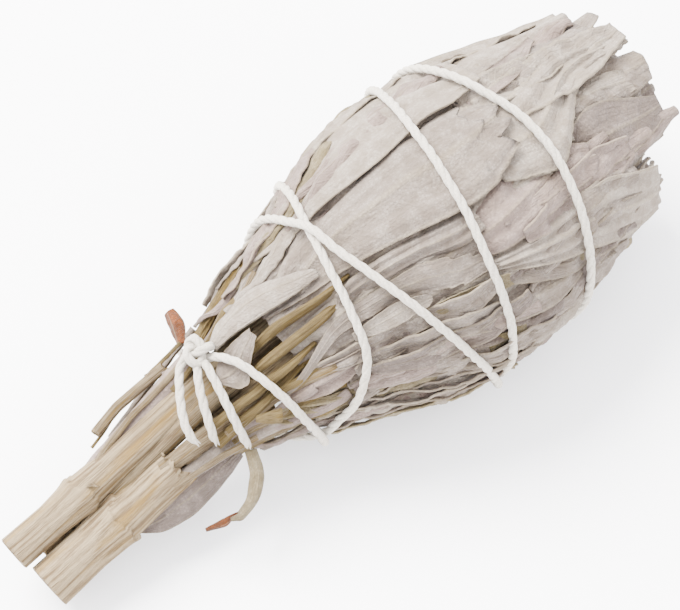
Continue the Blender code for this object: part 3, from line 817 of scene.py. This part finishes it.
def rolled_tube(bm, path, radii):
    """Add a tube to a bmesh. radii has one row for each point of the path, one column for each side."""
    rings, sides = radii.shape
    normals, binormals = path_frames(path)
    made = bmesh.ops.create_grid(bm, x_segments=rings - 1, y_segments=sides, size=0.5, calc_uvs=True)
    flat = np.array([vert.co for vert in made["verts"]])
    ring = np.round((flat[:, 0] + 0.5) * (rings - 1)).astype(int)
    side = np.round((flat[:, 1] + 0.5) * sides).astype(int)
    turn = 2 * np.pi * side / sides
    size = radii[ring, side % sides][:, None]
    outward = np.cos(turn)[:, None] * normals[ring] + np.sin(turn)[:, None] * binormals[ring]
    places = path[ring] + size * outward
    uv = bm.loops.layers.uv.active
    for vert, place, i, j in zip(made["verts"], places, ring, side):
        vert.co = place
        for loop in vert.link_loops:
            loop[uv].uv = (i / (rings - 1), j / sides)
    seam = [vert for vert, j in zip(made["verts"], side) if j in (0, sides)]
    bmesh.ops.remove_doubles(bm, verts=seam, dist=SEAM_REACH)


def open_rims(bm):
    """The edges round the open ends of the tube that was rolled last."""
    return [edge for edge in bm.edges if edge.is_boundary]


print("tube roller ready")

# %% [markdown]
# ## The stems
#
# Each stem is read from its plain rod: its middle line and its radius. The dressed one has
# rounded ridges, a low step where a pair of leaves grew, and a cut end with a slightly sunk pith.
# The right-hand stem is broken off under the string and is hollow there.

# %% Make the stems
STEM_SIDES = 48
STEM_RINGS = 130
TORN_LENGTH = 0.0035
CUT_END = ((0.93, -0.0001), (0.62, 0.00005), (0.5, 0.0004))
HOLLOW_END = ((0.72, 0.0), (0.66, 0.006))


def rod_line(name):
    """The middle line and the radius of a plain rod, station by station."""
    points = np.array([vertex.co for vertex in frame["nodes"][name].data.vertices])
    station = off_bunch(points)[0]
    order = np.argsort(station)
    rings = [points[group] for group in np.split(order, np.where(np.diff(station[order]) > 1.0)[0] + 1)]
    centres = np.array([ring.mean(axis=0) for ring in rings])
    radii = np.array([np.linalg.norm(ring - ring.mean(axis=0), axis=1).max() for ring in rings])
    return centres, radii


def ridged(path, radii, ridge, seed, joint=None):
    """Ring radii of a stem with rounded ridges, and a flared papery joint at a station if given."""
    turn = np.linspace(0.0, 2 * np.pi, STEM_SIDES, endpoint=False)
    rings = np.empty((len(path), STEM_SIDES))
    for i, (point, radius) in enumerate(zip(path, radii)):
        here = point[0] / MM - SHIFT[0]
        for j, angle in enumerate(turn):
            bump = lambda around, along: noise.noise(
                Vector((math.cos(angle), math.sin(angle), 0.0)) * around + Vector((0, 0, along + seed))
            )
            size = 1 + 0.03 * math.cos(4 * angle + seed) + ridge * bump(1.6, here * 0.022)
            size += 0.6 * ridge * bump(5.5, here * 0.06) + 0.3 * ridge * bump(14.0, here * 0.15)
            if joint is not None:
                past = here - joint - 1.3 * bump(2.4, 0.0) - 0.7 * math.cos(2 * angle + seed)
                size += 0.07 * math.exp(-(past**2)) if past < 0 else -0.07 * math.exp(-past / 5.0)
            rings[i, j] = radius * size
    return rings


def close_end(bm, rim, radius, inward, rings):
    """Fill an open rim in rings of (share of the radius, depth in metres), then with one face."""
    for share, depth in rings:
        made = bmesh.ops.extrude_edge_only(bm, edges=rim)["geom"]
        verts = [item for item in made if isinstance(item, bmesh.types.BMVert)]
        rim = [item for item in made if isinstance(item, bmesh.types.BMEdge)]
        middle = sum((vert.co for vert in verts), Vector()) / len(verts)
        reach = sum((vert.co - middle).length for vert in verts) / len(verts)
        for vert in verts:
            vert.co = middle + (vert.co - middle) * (share * radius / reach) + inward * depth
    bmesh.ops.holes_fill(bm, edges=rim, sides=0)


def tear_end(bm, end, radius, seed):
    """Make the last millimetres of a stem ragged, and shorter on the upper side."""
    ragged = end[0] - TORN_LENGTH
    for vert in bm.verts:
        if vert.co.x > ragged:
            jag = noise.noise(Vector((vert.co.y * 900, vert.co.z * 900, seed)))
            upper = max(0.0, (vert.co.z - end[2]) / radius)
            vert.co.x -= (0.0010 + 0.0016 * jag + 0.0022 * upper) * (vert.co.x - ragged) / TORN_LENGTH


def make_stem(name, seed, ridge=0.07, hollow=False, joint=None, longer=0.0):
    """Dress a rod. A plus or minus length in millimetres is added at its near end."""
    centres, radii = rod_line(name)
    centres[0] += (centres[0] - centres[1]) / np.linalg.norm(centres[0] - centres[1]) * longer * MM
    steps = np.linspace(0, len(centres) - 1, STEM_RINGS)
    spread = lambda column: np.interp(steps, range(len(radii)), column)
    path = by_column(lambda column: smooth_line(spread(column), 4), centres)
    thick = spread(radii)
    bm = new_bmesh()
    rolled_tube(bm, path, ridged(path, thick, ridge, seed, joint))
    if hollow:
        tear_end(bm, path[-1], thick[-1], seed)
    rims = open_rims(bm)
    middle = sum(edge.verts[0].co.x for edge in rims) / len(rims)
    near = [edge for edge in rims if edge.verts[0].co.x < middle]
    far = [edge for edge in rims if edge.verts[0].co.x >= middle]
    along = Vector(path[1] - path[0]).normalized()
    close_end(bm, near, thick[0], along, CUT_END)
    close_end(bm, far, thick[-1], -along, HOLLOW_END if hollow else CUT_END)
    dress(name, into_mesh(name, bm), BARK_LOOKS["stem"])


STEM_HABITS = {
    "stem_top_left": dict(seed=1.0, ridge=0.09, joint=10.5, longer=1.6),
    "stem_top_right": dict(seed=5.0, ridge=0.10, hollow=True, joint=12.6, longer=1.8),
    "stem_right_core": dict(seed=9.0),
    "stem_between": dict(seed=13.0, joint=14.0),
    "stem_under": dict(seed=17.0),
    "twig_left": dict(seed=21.0, ridge=0.12, longer=-3.4),
}
for stem, habit in STEM_HABITS.items():
    make_stem(stem, **habit)
print("stems:", len(STEM_HABITS))

# %% [markdown]
# ## The stalks at the neck
#
# Where the leaves narrow to the knot, their stalks lie side by side. Each is a flattened,
# ridged rod. It comes from its own sheet in the plain model, crowned in the middle.

# %% Make the stalks
STALK_ALONG, STALK_ACROSS = 60, 18
FIRST_STALK_SEED = 100.0


def make_stalk(name, seed):
    station, angle, radius = fine_net(leaf_net(name), STALK_ALONG, STALK_ACROSS)
    share = np.linspace(-1.0, 1.0, angle.shape[1])[None, :]
    crown = 0.5 * (1 - share**2) - 0.35 * share**4
    ridges = 0.10 * np.cos(9.0 * share + 0.05 * station)
    ridges = ridges + 0.12 * ripple(station * 0.3, angle, radius, 1.2, seed)
    radius = radius + crown + ridges - dent(station, angle)
    outer = on_bunch(station, angle, radius)
    inner = on_bunch(station, angle, radius - 0.25 - 0.9 * (1 - share**2))
    dress(name, leaf_mesh(name, outer, inner), BARK_LOOKS["stalk"])


stalks = [name for name in sorted(frame["nodes"]) if name.startswith("stalk")]
for index, name in enumerate(stalks):
    make_stalk(name, FIRST_STALK_SEED + index)
print("stalks:", len(stalks))

# %% [markdown]
# ## Ribbons
#
# A bunch holds many more narrow pieces than the plain model names: folded leaves, stalks that
# have dried flat, rolled tips. Each is a ribbon laid along a path of stations, angles and radii.
# Across its width it follows an arc, so a plus turn gives a roof, a minus turn gives a gutter,
# and a large one rolls the leaf nearly shut.

# %% Define a ribbon
RIBBON_ALONG = 46
FLATTEST_TURN = 0.02


def skin_line(station, angle, rise):
    """The radius just above the bunch along a path, bridging its hollows."""
    skin = np.array([max(skin_radius(s, a), 0.86 * girth(s)) for s, a in zip(station, angle)])
    return smooth_line(skin, 4) + rise - dent(station, angle)


def ribbon_nets(path, widths, turns, seed, across=14, wave=0.25, face=None):
    """Outer and inner nets of points for a ribbon, in metres. path rows are station, angle, radius.

    The ribbon faces straight out of the bunch, or toward the angle given by face."""
    steps = np.linspace(0.0, 1.0, RIBBON_ALONG + 1)
    spread = lambda values: smooth_line(np.interp(steps, np.linspace(0, 1, len(values)), values), 4)
    station, angle, radius = (spread(column) for column in np.array(path, float).T)
    width, turn = spread(widths), np.radians(spread(turns))
    middle = on_bunch(station, angle, radius) / MM
    facing = angle if face is None else np.full(angle.shape, float(face))
    up = (on_bunch(station, facing, 1.0) - on_bunch(station, facing, 0.0)) / MM
    along = np.gradient(middle, axis=0)
    side = unit(np.cross(along, up))
    up = unit(np.cross(side, along))
    share = np.linspace(-1.0, 1.0, across + 1)[None, :]
    half = np.where(np.abs(turn) < FLATTEST_TURN, FLATTEST_TURN, turn)[:, None] / 2
    bow = width[:, None] / 2 / half
    x, y = bow * np.sin(half * share), bow * np.cos(half * share) - bow
    place = middle[:, None] + side[:, None] * x[..., None] + up[:, None] * y[..., None]
    points = [Vector(point) for point in place.reshape(-1, 3)]
    bumps = lambda scale: np.array([noise.noise(point * scale + Vector((0, 0, seed))) for point in points])
    rough = (wave * 1.6 * bumps(0.28) + wave * 0.7 * bumps(0.8)).reshape(place.shape[:2])
    tilt = half * share
    normal = side[:, None] * np.sin(tilt)[..., None] + up[:, None] * np.cos(tilt)[..., None]
    place = place + up[:, None] * rough[..., None]
    return place * MM, (place - normal * LEAF_THICKNESS) * MM


def make_ribbon(name, slot, path, widths, turns, seed, **detail):
    outer, inner = ribbon_nets(path, widths, turns, seed, **detail)
    for net in (outer, inner):
        net[..., 2] = np.maximum(net[..., 2], FLOOR_GAP * MM)
    looks = BARK_LOOKS if slot in BARK_LOOKS else LEAF_LOOKS
    return put(name, leaf_mesh(name, outer, inner), looks[slot])


print("ribbon ready")

# %% [markdown]
# ## The narrow folded leaves
#
# Low on the front side the leaves are small and folded into narrow pleats that run from the neck
# to the widest part. They are laid over the plain ones at slightly different angles, side by
# side, so that each covers a rim of the one before it. A layer of broad leaves goes in first, one
# layer down, and closes the gaps.

# %% Lay the folded leaves
pick = random.Random(11)
SIDE_SLOTS = (
    "leaf_grey", "leaf_pale", "leaf_grey", "leaf_pink", "leaf_grey", "leaf_olive", "leaf_pale", "leaf_shade",
)
UNDER_LEAVES = 17


def lay_ribbon(name, slot, start, finish, widths, turns, rise, bend=0.0, seed=0.0, **detail):
    """A ribbon on the skin from one (station, angle) to another, bowed sideways by some degrees."""
    share = np.linspace(0.0, 1.0, 24)
    station = start[0] + (finish[0] - start[0]) * share
    angle = start[1] + (finish[1] - start[1]) * share + bend * np.sin(math.pi * share)
    radius = skin_line(station, angle, rise)
    path = np.stack([station, angle, radius], axis=1)
    return make_ribbon(name, slot, path, widths, turns, seed, **detail)


def lay_fold_group(label, count, stations, angles, lengths, width, fan, rise=0.5):
    """Folded leaves between two angles, spreading a little as the bunch widens."""
    for i in range(count):
        share = (i + 0.5) / count
        start = pick.uniform(*stations)
        angle = angles[0] + (angles[1] - angles[0]) * share + pick.uniform(-2, 2)
        length = pick.uniform(*lengths)
        wide = pick.uniform(*width)
        turn = pick.choice((120, 170, 210, 150, -90))
        lay_ribbon(
            f"{label}_{i:02d}", pick.choice(SIDE_SLOTS),
            (start, angle), (start + length, angle + fan * (share - 0.5)),
            (0.3 * wide, 0.7 * wide, wide, wide, 0.45 * wide), (turn, turn * 0.8, turn * 0.6, turn * 0.8),
            rise + 0.5 * pick.random(), bend=pick.uniform(-7, 7), seed=pick.uniform(0, 90), wave=0.45,
        )


def lay_inner():
    """Broad leaves one layer down, seen only through the gaps."""
    stations = np.linspace(41, 88, 8)
    for i in range(UNDER_LEAVES):
        angles = np.full(8, -98 + 14.0 * i) + pick.uniform(-3, 3)
        path = np.stack([stations, angles, girth(stations) - pick.uniform(1.5, 2.3)], axis=1)
        wide = pick.uniform(6.5, 8.0)
        make_ribbon(
            f"leaf_under_{i:02d}", pick.choice(SIDE_SLOTS), path,
            (0.45 * wide, 0.8 * wide, wide, wide, 0.7 * wide), (60, 40), pick.uniform(0, 90),
            wave=0.6, across=16,
        )


lay_inner()
lay_fold_group("leaf_fold_low", 10, (40, 54), (120, 88), (26, 38), (4.0, 6.4), 8.0)
lay_fold_group("leaf_fold_side", 13, (42, 50), (96, 46), (18, 28), (3.0, 5.0), 10.0)
lay_fold_group("leaf_fold_right", 6, (62, 70), (108, 76), (20, 28), (4.6, 6.6), 6.0)
lay_fold_group("leaf_fold_left", 11, (35, 43), (-96, -32), (16, 26), (2.8, 4.6), -6.0)
print("folded leaves laid")

# %% [markdown]
# ## The stalks and twigs of the neck
#
# At the neck every leaf narrows to its stalk. The stalks are thin arched ribbons that start
# under the string and fan out. A few thin twigs run beside the cut stems and fill the bundle out
# to its left side.

# %% Lay the thin stalks
NECK_SLOTS = ("stalk", "leaf_grey", "stalk", "leaf_olive", "stem", "leaf_pink")


def lay_stalks(label, count, first, step, starts, wides, lengths, lean, swell, turn, rise):
    """Thin stalks at even angles. lean is the degrees added at a stalk's start and at its end."""
    for i in range(count):
        angle = first + step * i + pick.uniform(-2, 2)
        start = pick.uniform(*starts)
        wide = pick.uniform(*wides)
        lay_ribbon(
            f"{label}_{i:02d}", pick.choice(NECK_SLOTS),
            (start, angle + lean[0]), (start + pick.uniform(*lengths), angle + lean[1]),
            (wide, wide, swell * wide), (turn, turn - 20, turn - 40), rise + 0.3 * pick.random(),
            bend=pick.uniform(-4, 4), seed=pick.uniform(0, 90), wave=0.12,
        )


TWIGS = (
    # name, slot, path of (station, angle, radius), widths
    ("twig_tan", "stem", ((11.5, -40, 5.4), (16, -42, 6.8), (22, -44, 7.6), (28, -42, 8.0), (34, -38, 9.6)),
     (1.7, 2.0, 2.0, 2.2)),
    ("twig_outer", "stalk", ((15, -72, 7.2), (20, -70, 8.4), (26, -66, 9.2), (33, -60, 10.0)),
     (1.2, 1.4, 1.6)),
    ("twig_grey", "leaf_pink", ((11, -60, 5.6), (17, -58, 6.6), (24, -55, 7.4), (33, -48, 9.0)),
     (5.0, 7.0, 6.4)),
    ("fill_left", "leaf_grey", ((14, -66, 4.2), (20, -64, 5.0), (27, -60, 5.6), (35, -52, 7.4)),
     (6.4, 8.0, 8.0)),
    ("fill_top", "stem", ((13, 4, 2.4), (21, 4, 3.4), (28, 4, 4.8), (36, 4, 6.6)), (4.6, 5.6, 8.0)),
    ("fill_front", "stem", ((20, 52, 4.6), (25, 54, 5.6), (30, 56, 6.6), (37, 60, 8.6)), (4.4, 5.6, 6.6)),
    ("fill_low", "leaf_grey", ((21, 84, 5.6), (26, 84, 6.8), (31, 84, 7.8), (38, 84, 9.8)),
     (4.0, 5.6, 6.6)),
    ("twig_pale", "leaf_grey", ((18, -84, 6.8), (24, -82, 8.2), (30, -78, 9.2), (36, -74, 10.6)),
     (2.0, 2.4, 2.4)),
    ("twig_low", "stem", ((20, 66, 7.0), (26, 70, 8.0), (33, 74, 9.4)), (1.4, 1.8, 1.8)),
    ("bark_flap", "stem", ((10.8, -20, 5.6), (11.6, -12, 6.0), (12.0, -2, 6.1)), (1.0, 1.3, 0.5)),
)


def make_twigs():
    for index, (name, slot, path, widths) in enumerate(TWIGS):
        make_ribbon(name, slot, path, widths, (220, 220), 3.0 * index, across=18, wave=0.10)


lay_stalks("stalk_thin", 12, 48, 6.0, (29, 33), (1.3, 2.6), (12, 18), (4, 0), swell=1.2, turn=150, rise=0.3)
lay_stalks("stalk_left", 8, -92, 7.5, (26, 31), (1.3, 2.2), (14, 20), (0, 6), swell=1.3, turn=160, rise=0.2)
make_twigs()
print("neck filled")

# %% [markdown]
# ## The loose tips
#
# At the far end the leaves stand free and their tips show, one behind another. Some lie broad,
# some are rolled lengthwise. They start inside the bunch and end at about the same station.
# Rolled leaves set in a spiral fill the end's middle, and a few folded ones finish the skin.

# %% Lay the tips
TIP_SLOTS = ("leaf_grey", "leaf_shade", "leaf_grey", "leaf_pale", "leaf_pink")
OUTER_TIPS, INNER_TIPS, BACK_TIPS = 30, 36, 11
GOLDEN_ANGLE = 137.5


def lay_tip(name, slot, station, angle, radius, widths, turns, seed):
    """A tip along a line of stations. The angle may be one number for all of them."""
    path = np.stack(np.broadcast_arrays(station, angle, radius), axis=1)
    make_ribbon(name, slot, path, widths, turns, seed, wave=0.5)


def lay_tips():
    for i in range(OUTER_TIPS):
        angle = -100 + 200 * (i + 0.5) / OUTER_TIPS + pick.uniform(-4, 4)
        depth = pick.uniform(0.62, 0.98)
        start = pick.uniform(76, 86)
        end = pick.uniform(97, 107.5) if abs(angle - 10) < 50 else pick.uniform(94, 104)
        stations = np.linspace(start, end, 6)
        radius = girth(stations) * depth * np.linspace(1.0, pick.uniform(0.86, 1.04), 6)
        drift = pick.uniform(-9, 9)
        angles = angle + drift * np.linspace(0, 1, 6)
        wide = pick.uniform(4.5, 8.5)
        turn = pick.choice((-120, -60, 60, 120, 200))
        lay_tip(
            f"leaf_loose_tip_{i:02d}", pick.choice(TIP_SLOTS), stations, angles, radius,
            (0.7 * wide, wide, wide, 0.8 * wide, 0.3 * wide), (turn * 0.5, turn), pick.uniform(0, 90),
        )


BROAD_TIPS = (
    # slot, path of (station, angle, radius), widths, turn
    ("leaf_grey", ((78, -24, 19.0), (90, -22, 17.4), (104, -18, 15.4)), (6.0, 9.0, 8.0, 4.0), 90),
    ("leaf_pale", ((80, -6, 18.2), (92, -6, 16.6), (106, -8, 15.6)), (6.0, 8.5, 8.0, 3.0), -70),
    ("leaf_grey", ((80, 8, 17.6), (92, 10, 16.0), (106.5, 14, 14.4)), (6.0, 9.0, 9.0, 5.0), 80),
    ("leaf_pink", ((82, -42, 17.6), (92, -40, 16.4), (103, -36, 15.8)), (5.0, 7.5, 6.5, 3.0), 160),
    ("leaf_shade", ((82, 24, 15.6), (94, 26, 14.0), (106, 28, 11.6)), (6.0, 9.0, 9.0, 6.0), 60),
)


def lay_broad_tips():
    for index, (slot, path, widths, turn) in enumerate(BROAD_TIPS):
        name = f"leaf_broad_tip_{'abcde'[index]}"
        make_ribbon(name, slot, path, widths, (turn * 0.5, turn), 7.0 * index, wave=0.6, across=20)


end_pick = random.Random(5)


def lay_inner_tips():
    """Rolled leaves that fill the end of the bunch from its middle out, set in a spiral."""
    for i in range(INNER_TIPS):
        angle = (GOLDEN_ANGLE * i + 180) % 360 - 180
        depth = 0.08 + 0.66 * math.sqrt((i + 0.5) / INNER_TIPS)
        stations = np.linspace(76, end_pick.uniform(96, 104), 5)
        wide = end_pick.uniform(5.0, 7.5)
        turn = end_pick.choice((120, 200, -120, 260))
        lay_tip(
            f"leaf_heart_{i:02d}", end_pick.choice(TIP_SLOTS), stations, angle, girth(stations) * depth,
            (0.8 * wide, wide, wide, 0.8 * wide, 0.35 * wide), (turn * 0.5, turn), end_pick.uniform(0, 90),
        )


def lay_back_tips():
    """Leaf tips round the low and far side of the end."""
    for i in range(BACK_TIPS):
        stations = np.linspace(78, end_pick.uniform(97, 104), 5)
        angle = 108 + 14.0 * i + end_pick.uniform(-3, 3)
        wide = end_pick.uniform(6.0, 8.5)
        lay_tip(
            f"leaf_back_tip_{i:02d}", end_pick.choice(TIP_SLOTS), stations, angle, girth(stations) * 0.9,
            (0.7 * wide, wide, wide, 0.8 * wide, 0.3 * wide), (40, end_pick.choice((90, 140, -60))),
            end_pick.uniform(0, 90),
        )


lay_tips()
lay_broad_tips()
lay_inner_tips()
lay_back_tips()
lay_fold_group("leaf_fold_top", 5, (47, 56), (-66, -30), (22, 30), (4.4, 6.4), -4.0, rise=0.15)
lay_fold_group("leaf_fold_end", 4, (70, 76), (30, 70), (18, 24), (4.4, 6.4), 4.0, rise=0.1)
print("tips laid")

# %% [markdown]
# ## The loose bits
#
# A low leaf lies under the stems, a hooked one hangs out of the neck, and a few brown bits of
# bud and torn stalk are caught under the string.

# %% Make the loose bits
SCRAPS = (
    # name, slot, path of (station, angle, radius), widths, turns, the way it faces
    # the low leaf under the stems takes the dark leaf_shade finish as painted shade
    ("scrap_low_leaf", "leaf_shade", ((13.5, 104, 5.6), (17, 103, 6.8), (22, 100, 7.4), (31, 95, 7.4)),
     (0.6, 2.6, 4.2, 5.0, 4.6, 2.0), (-60, 70), 40),
    ("scrap_low_curl", "scrap_brown", ((21.0, 106, 12.0), (23.5, 106, 13.2), (26, 105, 13.6)),
     (0.9, 2.2, 1.2), (160, 200), 60),
    ("scrap_hooked", "leaf_olive",
     ((31.5, 80, 9.0), (30.5, 86, 12.2), (28, 92, 14.2), (25.4, 98, 14.4), (24.2, 102, 13.4)),
     (2.2, 2.8, 2.4, 0.9), (120, 170), 40),
    ("scrap_bud_brown", "scrap_brown", ((32.8, -70, 9.4), (34.0, -77, 12.2), (34.6, -80, 14.6)),
     (2.2, 3.6, 2.2), (180, 120), None),
    ("scrap_forked_stub", "stalk", ((33.0, 50, 10.8), (34.6, 55, 11.2), (36.4, 60, 11.4)),
     (1.4, 2.2, 2.6), (160, 90), None),
)


def make_scraps():
    for index, (name, slot, path, widths, turns, face) in enumerate(SCRAPS):
        piece = make_ribbon(f"{name}_dressed", slot, path, widths, turns, 60.0 + index, face=face)
        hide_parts(name)


make_scraps()
print("loose bits:", len(SCRAPS))

# %% [markdown]
# ## The string
#
# Cotton twine is a few soft plies laid round each other. Here three thin tubes wind round the
# string's route, a full turn every few millimetres. The finish is a warm white with a fine
# fibrous bump.

# %% Define the cotton finish
COTTON_BUMP = 0.00012


def cotton_finish():
    made = Finish("string_cotton", roughness=0.95, sheen=0.15)
    fibre = made.noise(1.0, 3.0, made.map_scaled(900.0, 5.0), roughness=0.7)
    fuzz = made.noise(3800.0, 3.0)
    soiled = made.noise(180.0, 2.0)
    colour = made.blend(fuzz.between(0.3, 0.7), (0.33, 0.295, 0.24), (0.44, 0.405, 0.345))
    colour = made.blend(soiled.between(0.5, 0.75) * 0.35, colour, (0.29, 0.245, 0.175))
    return made.finish(colour, fibre * 0.6 + fuzz * 0.8, COTTON_BUMP)


COTTON = cotton_finish()
print("cotton finish ready")

# %% Lay the plies along the route
PLIES = 3
PLY_RADIUS = 0.40
PLY_OFFSET = 0.24
LAY_LENGTH = 6.2
PLY_SIDES = 8
CHECK_EVERY = 5
SAME_TURN = 120
CROSSING_GAP = 2.2
CROSSING_LIFT = 1.35
CROSSING_REACH = 3.4


def evenly(path, step):
    """The same path with its points a fixed distance apart, and their distances from its start."""
    travelled = distance_along(path)
    even = np.linspace(0.0, travelled[-1], max(8, int(travelled[-1] / step)))
    return by_column(lambda column: np.interp(even, travelled, column), path), even


def twisted(bm, path, step=0.0007, taper=0.0):
    """Add three plies that wind round a path. They thin out over the last millimetres, the taper."""
    path, travelled = evenly(path, step)
    normals, binormals = path_frames(path)
    for ply in range(PLIES):
        turn = 2 * np.pi * (travelled / (LAY_LENGTH * MM) + ply / PLIES)
        swell = 1 + 0.06 * np.sin(travelled / MM * 1.7 + ply * 2.1)
        around = np.cos(turn)[:, None] * normals + np.sin(turn)[:, None] * binormals
        middle = path + around * PLY_OFFSET * MM * swell[:, None]
        radii = np.tile((PLY_RADIUS * MM * swell)[:, None], PLY_SIDES)
        if taper:
            ending = np.clip((travelled[-1] - travelled) / (taper * MM), 0.15, 1.0)
            radii *= ending[:, None]
        rolled_tube(bm, middle, radii)
        bmesh.ops.holes_fill(bm, edges=open_rims(bm), sides=0)


def raise_crossings(path, station, angle, radius):
    """Let the earlier strand pass over the later one where they cross."""
    coarse = np.arange(0, len(path), CHECK_EVERY)
    apart = np.linalg.norm(path[coarse][:, None] - path[coarse][None], axis=2)
    apart[np.abs(coarse[:, None] - coarse[None]) < SAME_TURN] = 1.0
    lifted = radius.copy()
    travelled = distance_along(path) / MM
    for i in range(1, len(coarse) - 1):
        j = i + 1 + int(np.argmin(apart[i, i + 1:]))
        window = apart[max(i - 6, 0):i + 7, max(j - 6, 0):j + 7]
        if apart[i, j] < CROSSING_GAP * MM and apart[i, j] <= window.min():
            away = (travelled - travelled[coarse[i]]) / CROSSING_REACH
            lifted = np.maximum(lifted, radius + CROSSING_LIFT * np.exp(-(away**2)))
            print(f"strands cross near station {station[coarse[i]]:.0f}, angle {angle[coarse[i]] % 360:.0f}")
    return lifted


def make_strand(name, station, angle, radius, **detail):
    """Put a twisted strand where a plain one is."""
    bm = new_bmesh()
    twisted(bm, on_bunch(station, angle, radius), **detail)
    dress(name, into_mesh(name, bm), COTTON, ending="twisted")


lifted_radius = raise_crossings(string_path, string_station, string_angle, string_radius)
make_strand("string_winding", string_station, string_angle, lifted_radius)
print("winding made")

# %% [markdown]
# ## The knot and its tails
#
# The knot is a short piece of the same string pulled into a tight three-lobed loop. Three cut
# tails come out of it and lie over the stems, and their plies thin out at the end.

# %% Make the knot and the tails
TAIL_SAMPLES = 60
KNOT_SAMPLES = 90
KNOT_RISE = 1.5
TAIL_ROUTES = {
    "string_tail_left": (
        (31.6, -34), (29.6, -28), (28.2, -16), (26.6, -2), (25.4, 14), (25.0, 30), (25.6, 42),
    ),
    "string_tail_middle": ((31.6, -18), (29.6, 2), (28.6, 16), (27.9, 30), (27.5, 44), (27.6, 54)),
    "string_tail_right": ((32.4, -14), (31.5, 12), (31.0, 28), (30.8, 46), (30.9, 62), (31.2, 78)),
}


def make_tail(name, route):
    steps = np.linspace(0, len(route) - 1, TAIL_SAMPLES)
    station, angle = (
        smooth_line(np.interp(steps, range(len(route)), column), 6) for column in np.array(route, float).T
    )
    radius = girth(station) + 0.9 + 0.5 * np.sin(np.linspace(0, math.pi, TAIL_SAMPLES))
    make_strand(name, station, angle, radius, step=0.0005, taper=1.5)


def make_knot():
    """A trefoil: it goes twice round while it swings in and out three times."""
    turn = np.linspace(0.0, 2 * np.pi, KNOT_SAMPLES)
    along = (np.sin(turn) + 2 * np.sin(2 * turn)) / 3 * 1.9
    across = (np.cos(turn) - 2 * np.cos(2 * turn)) / 3 * 2.2
    out = -np.sin(3 * turn) * 0.75
    station = KNOT_STATION + along
    radius = girth(KNOT_STATION) + KNOT_RISE + out
    angle = KNOT_ANGLE + np.degrees(across / radius)
    make_strand("string_knot", station, angle, radius, step=0.0004)


for tail, route in TAIL_ROUTES.items():
    make_tail(tail, route)
make_knot()
print("knot and tails made")

# %% [markdown]
# ## The floor and the light
#
# The bunch lies on a plain white surface. One broad soft light stands up and to the left, so
# every strand and rim throws a soft short shadow toward the lower right, and a pale sky fills
# the hollows.

# %% Make the floor and the lights


def make_floor():
    bm = bmesh.new()
    bmesh.ops.create_grid(bm, x_segments=1, y_segments=1, size=2.0)
    mesh = bpy.data.meshes.new("floor")
    bm.to_mesh(mesh)
    bm.free()
    floor = bpy.data.objects.new("floor", mesh)
    paint = Finish("floor_paint", roughness=0.9)
    paint.shader.inputs["Base Color"].default_value = (0.93, 0.93, 0.93, 1.0)
    mesh.materials.append(paint.material)
    bpy.context.scene.collection.objects.link(floor)


def make_area_light(name, azimuth, elevation, distance, size, power, colour):
    light = bpy.data.lights.new(name, "AREA")
    light.shape = "DISK"
    light.size = size
    light.energy = power
    light.color = colour
    lamp = bpy.data.objects.new(name, light)
    toward = direction(azimuth, elevation)
    lamp.location = toward * distance
    lamp.rotation_euler = (-toward).to_track_quat("-Z", "Y").to_euler()
    bpy.context.scene.collection.objects.link(lamp)


def make_sky(brightness):
    world = bpy.data.worlds.new("studio")
    world.use_nodes = True
    background = world.node_tree.nodes["Background"]
    background.inputs["Color"].default_value = (0.96, 0.96, 1.0, 1.0)
    background.inputs["Strength"].default_value = brightness
    bpy.context.scene.world = world


make_floor()
make_area_light(
    "key", azimuth=-166.0, elevation=55.0, distance=1.2, size=0.8, power=112.0, colour=(1.0, 0.985, 0.96),
)
make_sky(brightness=6.0)
print("light ready")
